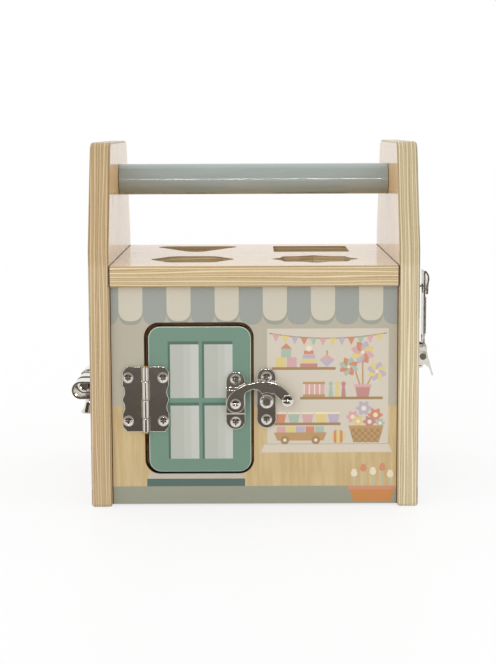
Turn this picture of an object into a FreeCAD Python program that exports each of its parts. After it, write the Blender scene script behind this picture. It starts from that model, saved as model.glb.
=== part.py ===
"""Carrying activity cube of plywood for small children.

A house-shaped box with a round carrying handle, four shape holes in its top
board and three doors.  Each door has a small butt hinge and its own kind of
latch: a swing hook at the front, a barrel bolt on the left and a lever
latch on the right.

X runs to the right, Y to the back and Z up.  The origin is on the floor under
the middle of the wooden box.  All sizes are in millimetres.
"""
import FreeCAD, Part
import math
import os

import Sketcher

DIMENSIONS = (
    # wooden box
    ("box_width", 190.0, "over both side boards"),
    ("box_depth", 165.0, "depth of the side boards"),
    ("box_height", 211.0, "floor to the top of the side boards"),
    ("side_thick", 12.0, "side boards"),
    ("top_thick", 12.0, "top board"),
    ("top_level", 141.0, "upper face of the top board"),
    ("shoulder_level", 150.0, "where the side boards start to narrow"),
    ("crown_half", 60.0, "half depth of the side boards at their top"),
    ("crown_round", 8.0, "rounding of the two upper corners"),
    ("shoulder_round", 8.0, "softening of the two shoulders"),
    ("foot_round", 2.5, "rounding of the two lower corners"),
    ("edge_round", 1.6, "rounded edges of the side boards"),
    ("board_round", 0.7, "eased edges of the other boards"),
    ("wall_thick", 8.0, "front, back and bottom boards"),
    ("face_recess", 4.0, "front and back boards behind the side boards"),
    ("wall_foot", 1.2, "gap between the front and back boards and the floor"),
    # carrying handle
    ("handle_radius", 9.45, "round carrying handle"),
    ("handle_drop", 23.25, "its middle below the top of the side boards"),
    ("handle_seat", 6.0, "depth of its blind sockets"),
    ("handle_ease", 1.0, "chamfer at both ends"),
    # dowels that join the boards
    ("stout_radius", 3.0, "dowels of the top board"),
    ("slim_radius", 2.0, "dowels of the thin boards"),
    ("dowel_length", 24.0, "all dowels"),
    ("dowel_seat", 8.0, "part of a dowel in the side board"),
    ("dowel_room", 1.0, "free space at each end of a dowel"),
    ("stout_spread", 50.0, "dowels of the top board from the middle"),
    ("slim_spread", 45.0, "dowels of the bottom board from the middle"),
    ("slim_low", 24.0, "lower dowels of the front and back boards"),
    ("slim_high", 108.0, "upper dowels of the front and back boards"),
    # shape holes in the top board
    ("hole_side", 36.8, "hole middles from the middle plane"),
    ("hole_front", -36.0, "front row of holes"),
    ("hole_back", 41.0, "back row of holes"),
    ("hexagon_radius", 26.2, "middle to corner"),
    ("star_radius", 26.6, "middle to tip"),
    ("star_valley", 22.6, "middle to the valley between two tips"),
    ("square_side", 48.0, "square hole"),
    ("triangle_side", 61.0, "triangle hole before its corners are rounded"),
    ("triangle_base", 66.0, "straight back edge of the triangle hole"),
    ("square_round", 2.5, "corners of the square hole"),
    ("triangle_round", 6.5, "corners of the triangle hole"),
    ("hexagon_round", 9.0, "corners of the hexagon hole"),
    # doors and their openings
    ("open_foot", 19.6, "lower edge of all three openings"),
    ("open_height", 88.1, "height of all three openings"),
    ("open_round", 8.2, "corners of the openings"),
    ("door_round", 7.1, "corners of the doors"),
    ("door_ease", 0.8, "rounded outer edge of the doors"),
    ("front_post", 19.7, "front board left of the opening"),
    ("front_open_width", 62.6, "width of the front opening"),
    ("front_free_gap", 1.2, "gap beside the latch"),
    ("front_head_gap", 2.0, "gap over the front door"),
    ("front_sill_gap", 0.7, "gap under the front door"),
    ("hinge_side_gap", 2.0, "gap at the hinge of every door"),
    ("front_axis_inset", 0.3, "hinge pin from the edge of the front opening"),
    ("side_post", 37.0, "side boards in front of the opening"),
    ("side_open_width", 76.5, "width of the side openings"),
    ("side_free_gap", 2.0, "gap at the free edge of the side doors"),
    ("side_slack", 1.3, "gaps at the other two edges of the side doors"),
    ("side_axis_inset", 1.0, "hinge pin from the edge of the side openings"),
    # butt hinges
    ("leaf_reach", 13.5, "hinge pin to the outer edge of a leaf"),
    ("leaf_half", 19.2, "half height of a leaf"),
    ("leaf_thick", 1.0, "sheet of the leaves"),
    ("leaf_clear", 2.15, "hinge pin to the inner edge of a leaf"),
    ("leaf_clip_across", 2.6, "clipped corners of a leaf"),
    ("leaf_clip_up", 3.2, "clipped corners of a leaf"),
    ("bite_start", 0.6, "bites in the outer edge of a leaf, from its middle"),
    ("bite_end", 8.1, "bites in the outer edge of a leaf, from its middle"),
    ("bite_radius", 6.6, "bites in the outer edge of a leaf"),
    ("knuckle_radius", 1.8, "outside of the rolled knuckles"),
    ("knuckle_gap", 0.3, "between neighbouring knuckles"),
    ("knuckle_inner", 10.8, "length of the two middle knuckles"),
    ("axis_out", 2.1, "hinge pin in front of the wood"),
    ("pin_radius", 0.95, "hinge pin"),
    ("pin_fit", 0.05, "play of pins in their eyes"),
    ("pin_cap", 0.5, "thickness of the caps on the hinge pin"),
    ("pin_cap_radius", 1.5, "caps on the hinge pin"),
    ("leaf_screw_across", 10.1, "hinge pin to a screw"),
    ("leaf_screw_up", 12.7, "middle of a leaf to a screw"),
    ("hinge_level", 63.4, "middle of the upright hinges"),
    # wood screws
    ("head_radius", 3.2, "round screw heads"),
    ("head_height", 1.7, "round screw heads"),
    ("shank_radius", 1.3, "screw shanks"),
    ("shank_length", 7.0, "screw shanks under the head"),
    ("shank_point", 2.0, "pointed end of a shank"),
    ("slot_width", 0.8, "cross recess"),
    ("slot_length", 3.4, "cross recess"),
    ("slot_depth", 0.9, "cross recess"),
    ("hole_play", 0.1, "screw holes in the metal round a shank"),
    # swing hook latch on the front
    ("sheet_thick", 1.0, "base plates of the latches"),
    ("hook_plate_side", 10.2, "middle of the hook plate from the edge of the opening"),
    ("hook_plate_z", 62.4, "hook plate"),
    ("hook_plate_half", 16.9, "half length of the hook plate"),
    ("hook_plate_radius", 5.6, "half width of the hook plate"),
    ("bridge_low", 55.2, "lower end of the raised bridge"),
    ("bridge_high", 69.2, "upper end of the raised bridge"),
    ("bridge_out", 2.9, "front of the bridge"),
    ("bridge_slope", 0.9, "slant of its two ends"),
    ("hook_level", 61.3, "pivot of the hook arm"),
    ("arm_back", 3.2, "back of the hook arm"),
    ("arm_front", 5.2, "front of the hook arm"),
    ("arm_eye", 5.3, "round end of the hook arm"),
    ("rivet_radius", 1.7, "pivot of the hook arm"),
    ("rivet_head", 3.1, "head of the pivot"),
    ("rivet_dome", 1.5, "height of the head"),
    ("slide_gap", 0.3, "free space beside moving pieces"),
    ("knob_reach", 30.0, "pivot to the round knob at the end of the arm"),
    ("knob_z", 63.0, "round knob at the end of the arm"),
    ("knob_radius", 3.3, "round knob"),
    ("knob_out", 2.4, "knob in front of the arm"),
    ("knob_stem", 1.2, "stem of the knob in the arm"),
    ("catch_side", 7.7, "middle of the catch plate from the edge of the opening"),
    ("catch_z", 63.8, "catch plate"),
    ("catch_half", 17.5, "half length of the catch plate"),
    ("catch_screw", 12.5, "screws of both plates from their middles"),
    ("button_z", 62.6, "button of the catch"),
    ("button_neck", 2.2, "neck of the button"),
    ("button_radius", 4.1, "head of the button"),
    ("button_back", 3.4, "back of the head"),
    ("button_front", 6.4, "front of the head"),
    ("button_dish", 2.2, "radius of the hollow in the head"),
    ("button_hollow", 0.9, "depth of the hollow"),
    ("button_shoulder", 1.4, "rounded part of the head"),
    ("button_lip", 0.4, "slanted wall of the hollow"),
    ("button_round", 3.0, "rounding of the head"),
    ("notch_radius", 5.0, "notch of the arm round the button"),
    # barrel bolt on the left door
    ("bolt_level", 65.8, "middle of the bolt"),
    ("bolt_axis_out", 7.2, "middle of the bolt rod in front of the wood"),
    ("bolt_radius", 3.8, "bolt rod"),
    ("bolt_fit", 0.07, "play of the rod in its guides"),
    ("bolt_reach", 1.4, "rod at rest in front of the edge of the opening"),
    ("bolt_length", 52.9, "bolt rod"),
    ("bolt_nose", 2.0, "length of its pointed nose"),
    ("bolt_nose_radius", 2.6, "flat end of the nose"),
    ("bolt_travel", 10.0, "slide of the rod"),
    ("guide_half", 5.25, "half width of guides and keeper"),
    ("guide_arch", 7.6, "middle of their rounded backs"),
    ("keeper_inner", 4.2, "half width inside the keeper"),
    ("keeper_gap", 2.5, "keeper in front of the edge of the opening"),
    ("keeper_length", 14.0, "keeper"),
    ("plate_inset", 3.0, "base plate behind the edge of the opening"),
    ("plate_length", 50.0, "base plate"),
    ("plate_half", 12.8, "half height of base plate and keeper feet"),
    ("guide_inset", 4.0, "front guide behind the edge of the opening"),
    ("fore_guide_length", 12.0, "front guide"),
    ("handle_width", 5.0, "bolt handle along the rod"),
    ("rear_guide_length", 15.9, "rear guide"),
    ("bolt_screw_up", 9.2, "screws of bolt and keeper"),
    ("bolt_screw_end", 4.6, "screws from the ends of the base plate"),
    ("ring_radius", 4.7, "ring of the bolt handle"),
    ("tail_drop", 21.6, "bolt handle below the middle of the rod"),
    ("neck_radius", 2.3, "straight part of the bolt handle"),
    ("bell_radius", 5.4, "flared end of the bolt handle"),
    ("bell_height", 8.6, "flared end of the bolt handle"),
    ("bell_curve", 11.7, "hollow bend of the flared end"),
    ("bell_lip", 0.9, "rounded rim of the flared end"),
    # lever latch on the right door
    ("ear_outer", 8.0, "outside of the ears"),
    ("ear_inner", 7.0, "inside of the ears"),
    ("ear_rise", 7.4, "ears above the pivot"),
    ("ear_drop", 5.4, "ears below the pivot"),
    ("ear_reach", 2.0, "ears in front of the pivot"),
    ("ear_round", 3.2, "corners of the ears"),
    ("link_outer", 6.6, "outside of the arms of the draw plate"),
    ("link_inner", 5.6, "inside of the arms of the draw plate"),
    ("lever_half", 5.2, "half width of the lever"),
    ("cheek_inner", 4.2, "inside of its cheeks"),
    ("pivot_z", 78.4, "pivot of the lever"),
    ("pivot_out", 9.4, "pivot of the lever"),
    ("pivot_radius", 1.1, "pivot of the lever"),
    ("pivot_head", 2.0, "rivet heads of the pivot"),
    ("pivot_cap", 0.7, "thickness of the rivet heads"),
    ("link_drop", 5.2, "link pin below the pivot"),
    ("link_in", 1.6, "link pin nearer to the wood than the pivot"),
    ("link_radius", 0.9, "link pins"),
    ("link_eye", 2.1, "sheet round the link pins"),
    ("lever_head", 84.4, "upper end of the lever"),
    ("lever_head_out", 11.0, "upper end of the lever"),
    ("lever_foot", 66.2, "lower end of the lever"),
    ("lever_foot_out", 16.3, "lower end of the lever"),
    ("lever_skin", 1.0, "sheet of the lever"),
    ("draw_half", 7.6, "half width of the draw plate"),
    ("draw_back", 9.5, "back of the draw plate"),
    ("draw_thick", 1.1, "sheet of the draw plate"),
    ("draw_foot_rise", 6.6, "full width of the plate above the lever"),
    ("arm_lean_rise", 2.6, "its arms lean out from here above the end of the lever"),
    ("arm_lean_drop", 0.4, "down to here below the end of the lever"),
    ("arm_turn", 77.0, "where its arms turn in to the link pins"),
    ("arm_out", 12.0, "front of its arms"),
    ("curl_level", 130.6, "start of the curled end"),
    ("curl_round", 0.9, "tight bend at its top"),
    ("tongue_side", 124.5, "where the curled tongue bulges most"),
    ("tongue_reach", 3.2, "back of the plate to the front of the tongue"),
    ("tongue_round", 6.7, "bend of the tongue"),
    ("tongue_lean", 0.5, "end of the tongue nearer to the plate"),
    ("curl_foot", 117.0, "end of the curled tongue"),
    ("panel_margin", 1.2, "raised panel above the foot of the full width"),
    ("panel_high", 115.2, "raised panel of the draw plate"),
    ("panel_half", 5.4, "half width of the raised panel"),
    ("panel_out", 11.4, "front of the raised panel"),
    ("window_half", 4.2, "half width of the window"),
    ("window_low", 117.4, "window for the strike"),
    ("window_high", 123.0, "window for the strike"),
    ("strike_low", 109.5, "strike plate"),
    ("strike_high", 132.8, "strike plate"),
    ("strike_half", 8.0, "half width of the strike plate"),
    ("strike_thick", 1.2, "sheet of the strike"),
    ("strike_screw", 4.5, "screws from the ends of the strike plate"),
    ("lip_half", 3.0, "half width of the lip"),
    ("lip_top", 122.3, "upper face of the lip"),
    ("lip_out", 11.1, "front of the lip"),
    ("base_low", 70.5, "base plate of the lever latch"),
    ("base_high", 96.0, "base plate of the lever latch"),
    ("base_half", 15.2, "half width of the base plate"),
    ("base_screw", 11.6, "its screws from the middle"),
    ("base_screw_up", 4.7, "its screws from its upper and lower edge"),
)

doc = FreeCAD.newDocument("activity_cube")
sheet = doc.addObject("Spreadsheet::Sheet", "Dims")


class Size:
    """A length that keeps its spreadsheet expression beside its value."""

    def __init__(self, value, text=None):
        self.value = float(value)
        self.text = text or f"({self.value!r})"

    @staticmethod
    def of(item):
        return item if isinstance(item, Size) else Size(item)

    def _join(self, other, sign, value):
        return Size(value, f"({self.text} {sign} {Size.of(other).text})")

    def __add__(self, other):
        return self._join(other, "+", self.value + Size.of(other).value)

    def __radd__(self, other):
        return Size.of(other) + self

    def __sub__(self, other):
        return self._join(other, "-", self.value - Size.of(other).value)

    def __rsub__(self, other):
        return Size.of(other) - self

    def __mul__(self, other):
        return self._join(other, "*", self.value * Size.of(other).value)

    def __rmul__(self, other):
        return Size.of(other) * self

    def __truediv__(self, other):
        return self._join(other, "/", self.value / Size.of(other).value)

    def __neg__(self):
        return Size(0) - self


class Dims:
    """The named sizes of the spreadsheet."""


d = Dims()
for row, (alias, value, meaning) in enumerate(DIMENSIONS, start=1):
    sheet.set(f"A{row}", meaning)
    sheet.set(f"B{row}", str(value))
    sheet.setAlias(f"B{row}", alias)
    setattr(d, alias, Size(value, f"Dims.{alias}"))
doc.recompute()


def vec(x, y, z):
    return FreeCAD.Vector(x, y, z)


def axes(x, y, z):
    """Turn that carries the local axes to the given world directions."""
    return FreeCAD.Rotation(vec(*x), vec(*y), vec(*z), "XYZ")


RIGHT, BACK, UP = (1, 0, 0), (0, 1, 0), (0, 0, 1)
LEFT, FRONT, DOWN = (-1, 0, 0), (0, -1, 0), (0, 0, -1)
WORLD = axes(RIGHT, BACK, UP)
# metal pieces are drawn with Z pointing out of the wall they sit on
FRONT_WALL = axes(RIGHT, UP, FRONT)
LEFT_WALL = axes(FRONT, UP, LEFT)
RIGHT_WALL = axes(BACK, UP, RIGHT)
# a profile drawn in the XY plane and swept along local X
SWEEP = axes(BACK, UP, RIGHT)


def drive(obj, **sizes):
    """Bind properties of an object to the spreadsheet."""
    for name, size in sizes.items():
        obj.setExpression(name.replace("__", "."), Size.of(size).text)
    return obj


def place(obj, turn=WORLD, x=0, y=0, z=0):
    obj.Placement = FreeCAD.Placement(vec(0, 0, 0), turn)
    return drive(obj, Placement__Base__x=x, Placement__Base__y=y, Placement__Base__z=z)


def draw_loop(sketch, corners):
    """Draw a closed loop held corner by corner.

    A corner is (x, y) or (x, y, radius).  With a radius the line to the next
    corner is an arc: positive bulges to the right of the travel direction.
    """
    corners = [tuple(Size.of(item) for item in corner) for corner in corners]
    first = len(sketch.Geometry)
    points = [vec(corner[0].value, corner[1].value, 0) for corner in corners]
    count = len(corners)
    for index, corner in enumerate(corners):
        start, end = points[index], points[(index + 1) % count]
        if len(corner) == 2:
            sketch.addGeometry(Part.LineSegment(start, end), False)
            continue
        chord = end - start
        half = chord.Length / 2
        radius = abs(corner[2].value)
        rise = radius - math.sqrt(max(radius * radius - half * half, 0.0))
        side = vec(chord.y, -chord.x, 0).normalize() * math.copysign(rise, corner[2].value)
        sketch.addGeometry(Part.Arc(start, (start + end) / 2 + side, end), False)

    def place_of(index, point):
        near = (sketch.getPoint(first + index, 1) - point).Length < 1e-6
        return 1 if near else 2

    def hold(kind, *items):
        number = sketch.addConstraint(Sketcher.Constraint(kind, *items[:-1], items[-1].value))
        sketch.setExpression(f"Constraints[{number}]", items[-1].text)

    for index, corner in enumerate(corners):
        following = (index + 1) % count
        head = place_of(index, points[index])
        hold("DistanceX", -1, 1, first + index, head, corner[0])
        hold("DistanceY", -1, 1, first + index, head, corner[1])
        sketch.addConstraint(Sketcher.Constraint(
            "Coincident", first + index, 3 - head,
            first + following, place_of(following, points[following])))
        if len(corner) == 3:
            radius = corner[2] if corner[2].value > 0 else -corner[2]
            hold("Radius", first + index, radius)


def draw_circle(sketch, x, y, radius):
    x, y, radius = Size.of(x), Size.of(y), Size.of(radius)
    index = len(sketch.Geometry)
    circle = Part.Circle(vec(x.value, y.value, 0), vec(0, 0, 1), radius.value)
    sketch.addGeometry(circle, False)
    for kind, size, items in (("DistanceX", x, (-1, 1, index, 3)),
                              ("DistanceY", y, (-1, 1, index, 3)),
                              ("Radius", radius, (index,))):
        number = sketch.addConstraint(Sketcher.Constraint(kind, *items, size.value))
        sketch.setExpression(f"Constraints[{number}]", size.text)


def rectangle(left, low, right, high):
    return [(left, low), (right, low), (right, high), (left, high)]


def capsule(x, y, half, radius):
    """Upright plate outline with two half round ends."""
    reach = half - radius
    return [(x + radius, y - reach), (x + radius, y + reach, radius),
            (x, y + half, radius), (x - radius, y + reach),
            (x - radius, y - reach, radius), (x, y - half, radius)]


def corners_by(x, y, unit, *parts):
    """Corners that keep their place round a point, in parts of a length."""
    return [(x + unit * part[0], y + unit * part[1], *(unit * radius for radius in part[2:]))
            for part in parts]


# boards: bodies with a sketched outline


def sketch_on(body, label, plane, level):
    """Sketch in a body's own plane, moved along the plane's normal."""
    sketch = body.newObject("Sketcher::SketchObject", label)
    origin = next(item for item in body.Origin.OriginFeatures if item.Role == plane)
    sketch.AttachmentSupport = (origin, [""])
    sketch.MapMode = "FlatFace"
    return drive(sketch, AttachmentOffset__Base__z=level)


def board(label, plane, level, thick, *loops):
    """Board between two faces; its thickness runs along the plane's normal."""
    body = doc.addObject("PartDesign::Body", label)
    sketch = sketch_on(body, label + "_outline", plane, level)
    for loop in loops:
        draw_loop(sketch, loop)
    pad = body.newObject("PartDesign::Pad", label + "_pad")
    pad.Profile = sketch
    drive(pad, Length=thick)
    doc.recompute()
    return body


def bore(body, plane, level, centres, radius, depth, backward=False):
    """Blind round holes, cut from a face against the plane's normal."""
    label = f"{body.Label}_bore{len(body.Group)}"
    before = body.Shape.Volume
    sketch = sketch_on(body, label + "_centres", plane, level)
    for x, y in centres:
        draw_circle(sketch, x, y, radius)
    pocket = body.newObject("PartDesign::Pocket", label)
    pocket.Profile = sketch
    pocket.Reversed = backward
    drive(pocket, Length=depth)
    doc.recompute()
    if body.Shape.Volume >= before:
        raise RuntimeError(f"{label} removed nothing")


def ease(body, radius, wanted, label):
    """Round all edges of a body that the test picks."""
    tip = body.Tip
    names = [f"Edge{number}" for number, edge in enumerate(tip.Shape.Edges, start=1)
             if wanted(edge)]
    if not names:
        raise RuntimeError(f"{body.Label}: no edges for {label}")
    fillet = body.newObject("PartDesign::Fillet", f"{body.Label}_{label}")
    fillet.Base = (tip, names)
    drive(fillet, Radius=radius)
    doc.recompute()


def runs(edge, axis):
    """True for a straight edge along an axis."""
    if edge.Curve.TypeId != "Part::GeomLine":
        return False
    return abs(abs(edge.Curve.Direction.dot(axis)) - 1) < 1e-6


def near(first, second):
    return abs(first - second) < 1e-4


def in_plane(edge, axis, level):
    """True for an edge that lies wholly in a plane across an axis."""
    box = edge.BoundBox
    low = vec(box.XMin, box.YMin, box.ZMin).dot(axis)
    high = vec(box.XMax, box.YMax, box.ZMax).dot(axis)
    return near(low, level) and near(high, level)


X_AXIS, Y_AXIS, Z_AXIS = vec(*RIGHT), vec(*BACK), vec(*UP)

half_width = d.box_width / 2
half_depth = d.box_depth / 2
inner_half = half_width - d.side_thick
face_level = half_depth - d.face_recess
top_foot = d.top_level - d.top_thick
open_head = d.open_foot + d.open_height
front_open_left = d.front_post - inner_half
front_open_right = front_open_left + d.front_open_width
door_edge = half_depth - d.side_post
side_open_front = -door_edge
side_open_back = side_open_front + d.side_open_width
front_axis = front_open_left + d.front_axis_inset
left_axis = side_open_back - d.side_axis_inset
right_axis = d.open_foot + d.side_axis_inset
shank_depth = d.shank_length - d.sheet_thick + 0.5

side_door_foot = d.open_foot + d.side_slack
side_door_head = open_head - d.side_slack
side_door_front = side_open_front + d.side_free_gap
side_door_back = side_open_back - d.hinge_side_gap
right_door_foot = d.open_foot + d.hinge_side_gap
right_door_head = open_head - d.side_free_gap
right_door_front = side_open_front + d.side_slack
right_door_back = side_open_back - d.side_slack
right_middle = (side_open_front + side_open_back) / 2

strike_screws = (d.strike_low + d.strike_screw, d.strike_high - d.strike_screw)
base_screws = (d.base_low + d.base_screw_up, d.base_high - d.base_screw_up)
hook_x = front_open_right - d.hook_plate_side
catch_x = front_open_right + d.catch_side
knob_x = hook_x + d.knob_reach
handle_level = d.box_height - d.handle_drop
plate_front = door_edge - d.plate_inset
fore_guide_front = door_edge - d.guide_inset
bolt_tip = door_edge + d.bolt_reach
keeper_rear = door_edge + d.keeper_gap
draw_foot = d.lever_head + d.draw_foot_rise
arm_lean_high = d.lever_head + d.arm_lean_rise
arm_lean_low = d.lever_head - d.arm_lean_drop
panel_low = draw_foot + d.panel_margin
plate_screw_front = plate_front - d.bolt_screw_end
plate_screw_back = plate_front - d.plate_length + d.bolt_screw_end
keeper_middle = keeper_rear + d.keeper_length / 2


def house_outline():
    return [(-half_depth, 0), (half_depth, 0), (half_depth, d.shoulder_level),
            (d.crown_half, d.box_height), (-d.crown_half, d.box_height),
            (-half_depth, d.shoulder_level)]


def side_board(label, outer, backward, plate_centres, leaf_centres):
    """Side board with its door opening, sockets, dowel holes and screw holes."""
    sign = 1 if backward else -1
    inner = outer + sign * d.side_thick
    opening = rectangle(side_open_front, d.open_foot, side_open_back, open_head)
    body = board(label, "YZ_Plane", outer if backward else inner, d.side_thick,
                 house_outline(), opening)
    high = d.box_height.value
    ease(body, d.crown_round, lambda edge: runs(edge, X_AXIS)
         and near(edge.Vertexes[0].Z, high), "crown")
    ease(body, d.shoulder_round, lambda edge: runs(edge, X_AXIS)
         and near(edge.Vertexes[0].Z, d.shoulder_level.value), "shoulder")
    ease(body, d.foot_round, lambda edge: runs(edge, X_AXIS)
         and near(edge.Vertexes[0].Z, 0), "foot")
    inside = (side_open_front.value, side_open_back.value)
    ease(body, d.open_round, lambda edge: runs(edge, X_AXIS)
         and min(abs(edge.Vertexes[0].Y - level) for level in inside) < 1e-4, "opening")

    def on_rim(edge):
        box = edge.BoundBox
        flat = near(box.XMin, box.XMax)
        middle = edge.CenterOfMass
        within = (inside[0] - 1 < middle.y < inside[1] + 1
                  and d.open_foot.value - 1 < middle.z < open_head.value + 1)
        return flat and not within

    ease(body, d.edge_round, on_rim, "rim")
    bore(body, "YZ_Plane", inner, [(0, handle_level)], d.handle_radius,
         d.handle_seat, not backward)
    bore(body, "YZ_Plane", inner,
         [(side * d.stout_spread, d.top_level - d.top_thick / 2) for side in (-1, 1)],
         d.stout_radius, d.dowel_seat + d.dowel_room, not backward)
    slim = [(side * (face_level - d.wall_thick / 2), level)
            for side in (-1, 1) for level in (d.slim_low, d.slim_high)]
    slim += [(side * d.slim_spread, d.wall_thick / 2) for side in (-1, 1)]
    bore(body, "YZ_Plane", inner, slim, d.slim_radius,
         d.dowel_seat + d.dowel_room, not backward)
    bore(body, "YZ_Plane", outer, plate_centres + leaf_centres, d.shank_radius,
         shank_depth, backward)
    return body


left_leaf_back = left_axis + d.leaf_screw_across
side_board(
    "side_board_left", -half_width, True,
    [(-keeper_middle, d.bolt_level + side * d.bolt_screw_up) for side in (-1, 1)],
    [(left_leaf_back, d.hinge_level + side * d.leaf_screw_up) for side in (-1, 1)])
side_board(
    "side_board_right", half_width, False,
    [(right_middle, level) for level in strike_screws],
    [(right_middle + side * d.leaf_screw_up, right_axis - d.leaf_screw_across)
     for side in (-1, 1)])


def polygon(x, y, radii, start, count):
    """Corners at equal angles, on radii that repeat in turn."""
    corners = []
    for step in range(count):
        angle = math.radians(start + 360.0 * step / count)
        radius = radii[step % len(radii)]
        corners.append((x + radius * math.cos(angle), y + radius * math.sin(angle)))
    return corners


triangle_tip = d.triangle_base - d.triangle_side * (math.sqrt(3) / 2)
triangle = [(-d.hole_side, triangle_tip), (-d.hole_side + d.triangle_side / 2, d.triangle_base),
            (-d.hole_side - d.triangle_side / 2, d.triangle_base)]
half_square = d.square_side / 2
square = rectangle(d.hole_side - half_square, d.hole_back - half_square,
                   d.hole_side + half_square, d.hole_back + half_square)
top_board = board(
    "top_board", "XY_Plane", top_foot, d.top_thick,
    rectangle(-inner_half, -half_depth, inner_half, half_depth),
    polygon(-d.hole_side, d.hole_front, [d.hexagon_radius], 0, 6),
    polygon(d.hole_side, d.hole_front, [d.star_radius, d.star_valley], 0, 16),
    triangle, square)


def at_corner(loop):
    spots = [(Size.of(x).value, Size.of(y).value) for x, y in loop]
    return lambda edge: runs(edge, Z_AXIS) and any(
        near(edge.Vertexes[0].X, x) and near(edge.Vertexes[0].Y, y) for x, y in spots)


ease(top_board, d.triangle_round, at_corner(triangle), "triangle")
ease(top_board, d.square_round, at_corner(square), "square")
ease(top_board, d.hexagon_round,
     at_corner(polygon(-d.hole_side, d.hole_front, [d.hexagon_radius], 0, 6)), "hexagon")
ease(top_board, d.board_round,
     lambda edge: runs(edge, X_AXIS) and near(abs(edge.Vertexes[0].Y), half_depth.value), "rim")


def end_bores(body, centres, radius):
    """Dowel holes in both ends of a board between the side boards."""
    depth = d.dowel_length - d.dowel_seat + d.dowel_room
    for level, backward in ((inner_half, False), (-inner_half, True)):
        bore(body, "YZ_Plane", level, centres, radius, depth, backward)


end_bores(top_board, [(side * d.stout_spread, d.top_level - d.top_thick / 2)
                      for side in (-1, 1)], d.stout_radius)

wall = rectangle(-inner_half, d.wall_foot, inner_half, top_foot)
front_opening = rectangle(front_open_left, d.open_foot, front_open_right, open_head)
front_board = board("front_board", "XZ_Plane", face_level - d.wall_thick, d.wall_thick,
                    wall, front_opening)
ease(front_board, d.open_round, lambda edge: runs(edge, Y_AXIS) and min(
    abs(edge.Vertexes[0].X - level.value)
    for level in (front_open_left, front_open_right)) < 1e-4, "opening")
back_board = board("back_board", "XZ_Plane", -face_level, d.wall_thick, wall)
bottom_board = board("bottom_board", "XY_Plane", 0, d.wall_thick,
                     rectangle(-inner_half, d.wall_thick - face_level,
                               inner_half, face_level - d.wall_thick))
wall_middle = face_level - d.wall_thick / 2
end_bores(front_board, [(-wall_middle, level) for level in (d.slim_low, d.slim_high)],
          d.slim_radius)
end_bores(back_board, [(wall_middle, level) for level in (d.slim_low, d.slim_high)],
          d.slim_radius)
end_bores(bottom_board, [(side * d.slim_spread, d.wall_thick / 2) for side in (-1, 1)],
          d.slim_radius)
bore(front_board, "XZ_Plane", face_level,
     [(front_axis - d.leaf_screw_across, d.hinge_level + side * d.leaf_screw_up)
      for side in (-1, 1)]
     + [(catch_x, d.catch_z + side * d.catch_screw) for side in (-1, 1)],
     d.shank_radius, shank_depth)


def door(label, plane, level, thick, outline, outer_axis, outer_level, backward,
         screw_level, centres):
    """Door with round corners, an eased outer edge and its screw holes."""
    body = board(label, plane, level, thick, outline)
    ease(body, d.door_round, lambda edge: runs(edge, outer_axis), "corners")
    ease(body, d.door_ease, lambda edge: in_plane(edge, outer_axis, outer_level), "rim")
    bore(body, plane, screw_level, centres, d.shank_radius, shank_depth, backward)
    return body


door(
    "front_door", "XZ_Plane", face_level - d.wall_thick, d.wall_thick,
    rectangle(front_open_left + d.hinge_side_gap, d.open_foot + d.front_sill_gap,
              front_open_right - d.front_free_gap, open_head - d.front_head_gap),
    Y_AXIS, -face_level.value, False, face_level,
    [(front_axis + d.leaf_screw_across, d.hinge_level + side * d.leaf_screw_up)
     for side in (-1, 1)]
    + [(hook_x, d.hook_plate_z + side * d.catch_screw) for side in (-1, 1)])
door(
    "left_door", "YZ_Plane", -half_width, d.side_thick,
    rectangle(side_door_front, side_door_foot, side_door_back, side_door_head),
    X_AXIS, -half_width.value, True, -half_width,
    [(left_axis - d.leaf_screw_across, d.hinge_level + side * d.leaf_screw_up)
     for side in (-1, 1)]
    + [(-along, d.bolt_level + side * d.bolt_screw_up)
       for along in (plate_screw_front, plate_screw_back) for side in (-1, 1)])
door(
    "right_door", "YZ_Plane", inner_half, d.side_thick,
    rectangle(right_door_front, right_door_foot, right_door_back, right_door_head),
    X_AXIS, half_width.value, False, half_width,
    [(right_middle + side * d.leaf_screw_up, right_axis + d.leaf_screw_across)
     for side in (-1, 1)]
    + [(right_middle + side * d.base_screw, level)
       for level in base_screws for side in (-1, 1)])


# round pieces and metal pieces: primitives and booleans


def box(label, left, low, back, right, high, front):
    """Box between two corners."""
    left, low, back = Size.of(left), Size.of(low), Size.of(back)
    obj = doc.addObject("Part::Box", label)
    place(obj, WORLD, left, low, back)
    return drive(obj, Length=right - left, Width=high - low, Height=front - back)


def rod(label, x, y, z, radius, length, turn=WORLD):
    """Cylinder from a point along the turned Z axis."""
    obj = doc.addObject("Part::Cylinder", label)
    place(obj, turn, x, y, z)
    return drive(obj, Radius=radius, Height=length)


def cone(label, x, y, z, first, second, length, turn=WORLD):
    obj = doc.addObject("Part::Cone", label)
    place(obj, turn, x, y, z)
    return drive(obj, Radius1=first, Radius2=second, Height=length)


def plate(label, low, high, *loops, turn=WORLD):
    """Sketched outlines swept between two levels along the turned Z axis."""
    sketch = doc.addObject("Sketcher::SketchObject", label + "_outline")
    direction = turn.multVec(Z_AXIS)
    low = Size.of(low)
    place(sketch, turn, direction.x * low, direction.y * low, direction.z * low)
    for loop in loops:
        draw_loop(sketch, loop)
    obj = doc.addObject("Part::Extrusion", label)
    obj.Base = sketch
    obj.DirMode = "Custom"
    obj.Dir = direction
    obj.Solid = True
    return drive(obj, LengthFwd=high - low)


def fuse(label, *parts):
    obj = doc.addObject("Part::MultiFuse", label)
    obj.Shapes = list(parts)
    obj.Refine = True
    return obj


def cut(label, base, *tools):
    obj = doc.addObject("Part::Cut", label)
    obj.Base = base
    obj.Tool = tools[0] if len(tools) == 1 else fuse(label + "_tools", *tools)
    return obj


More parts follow.
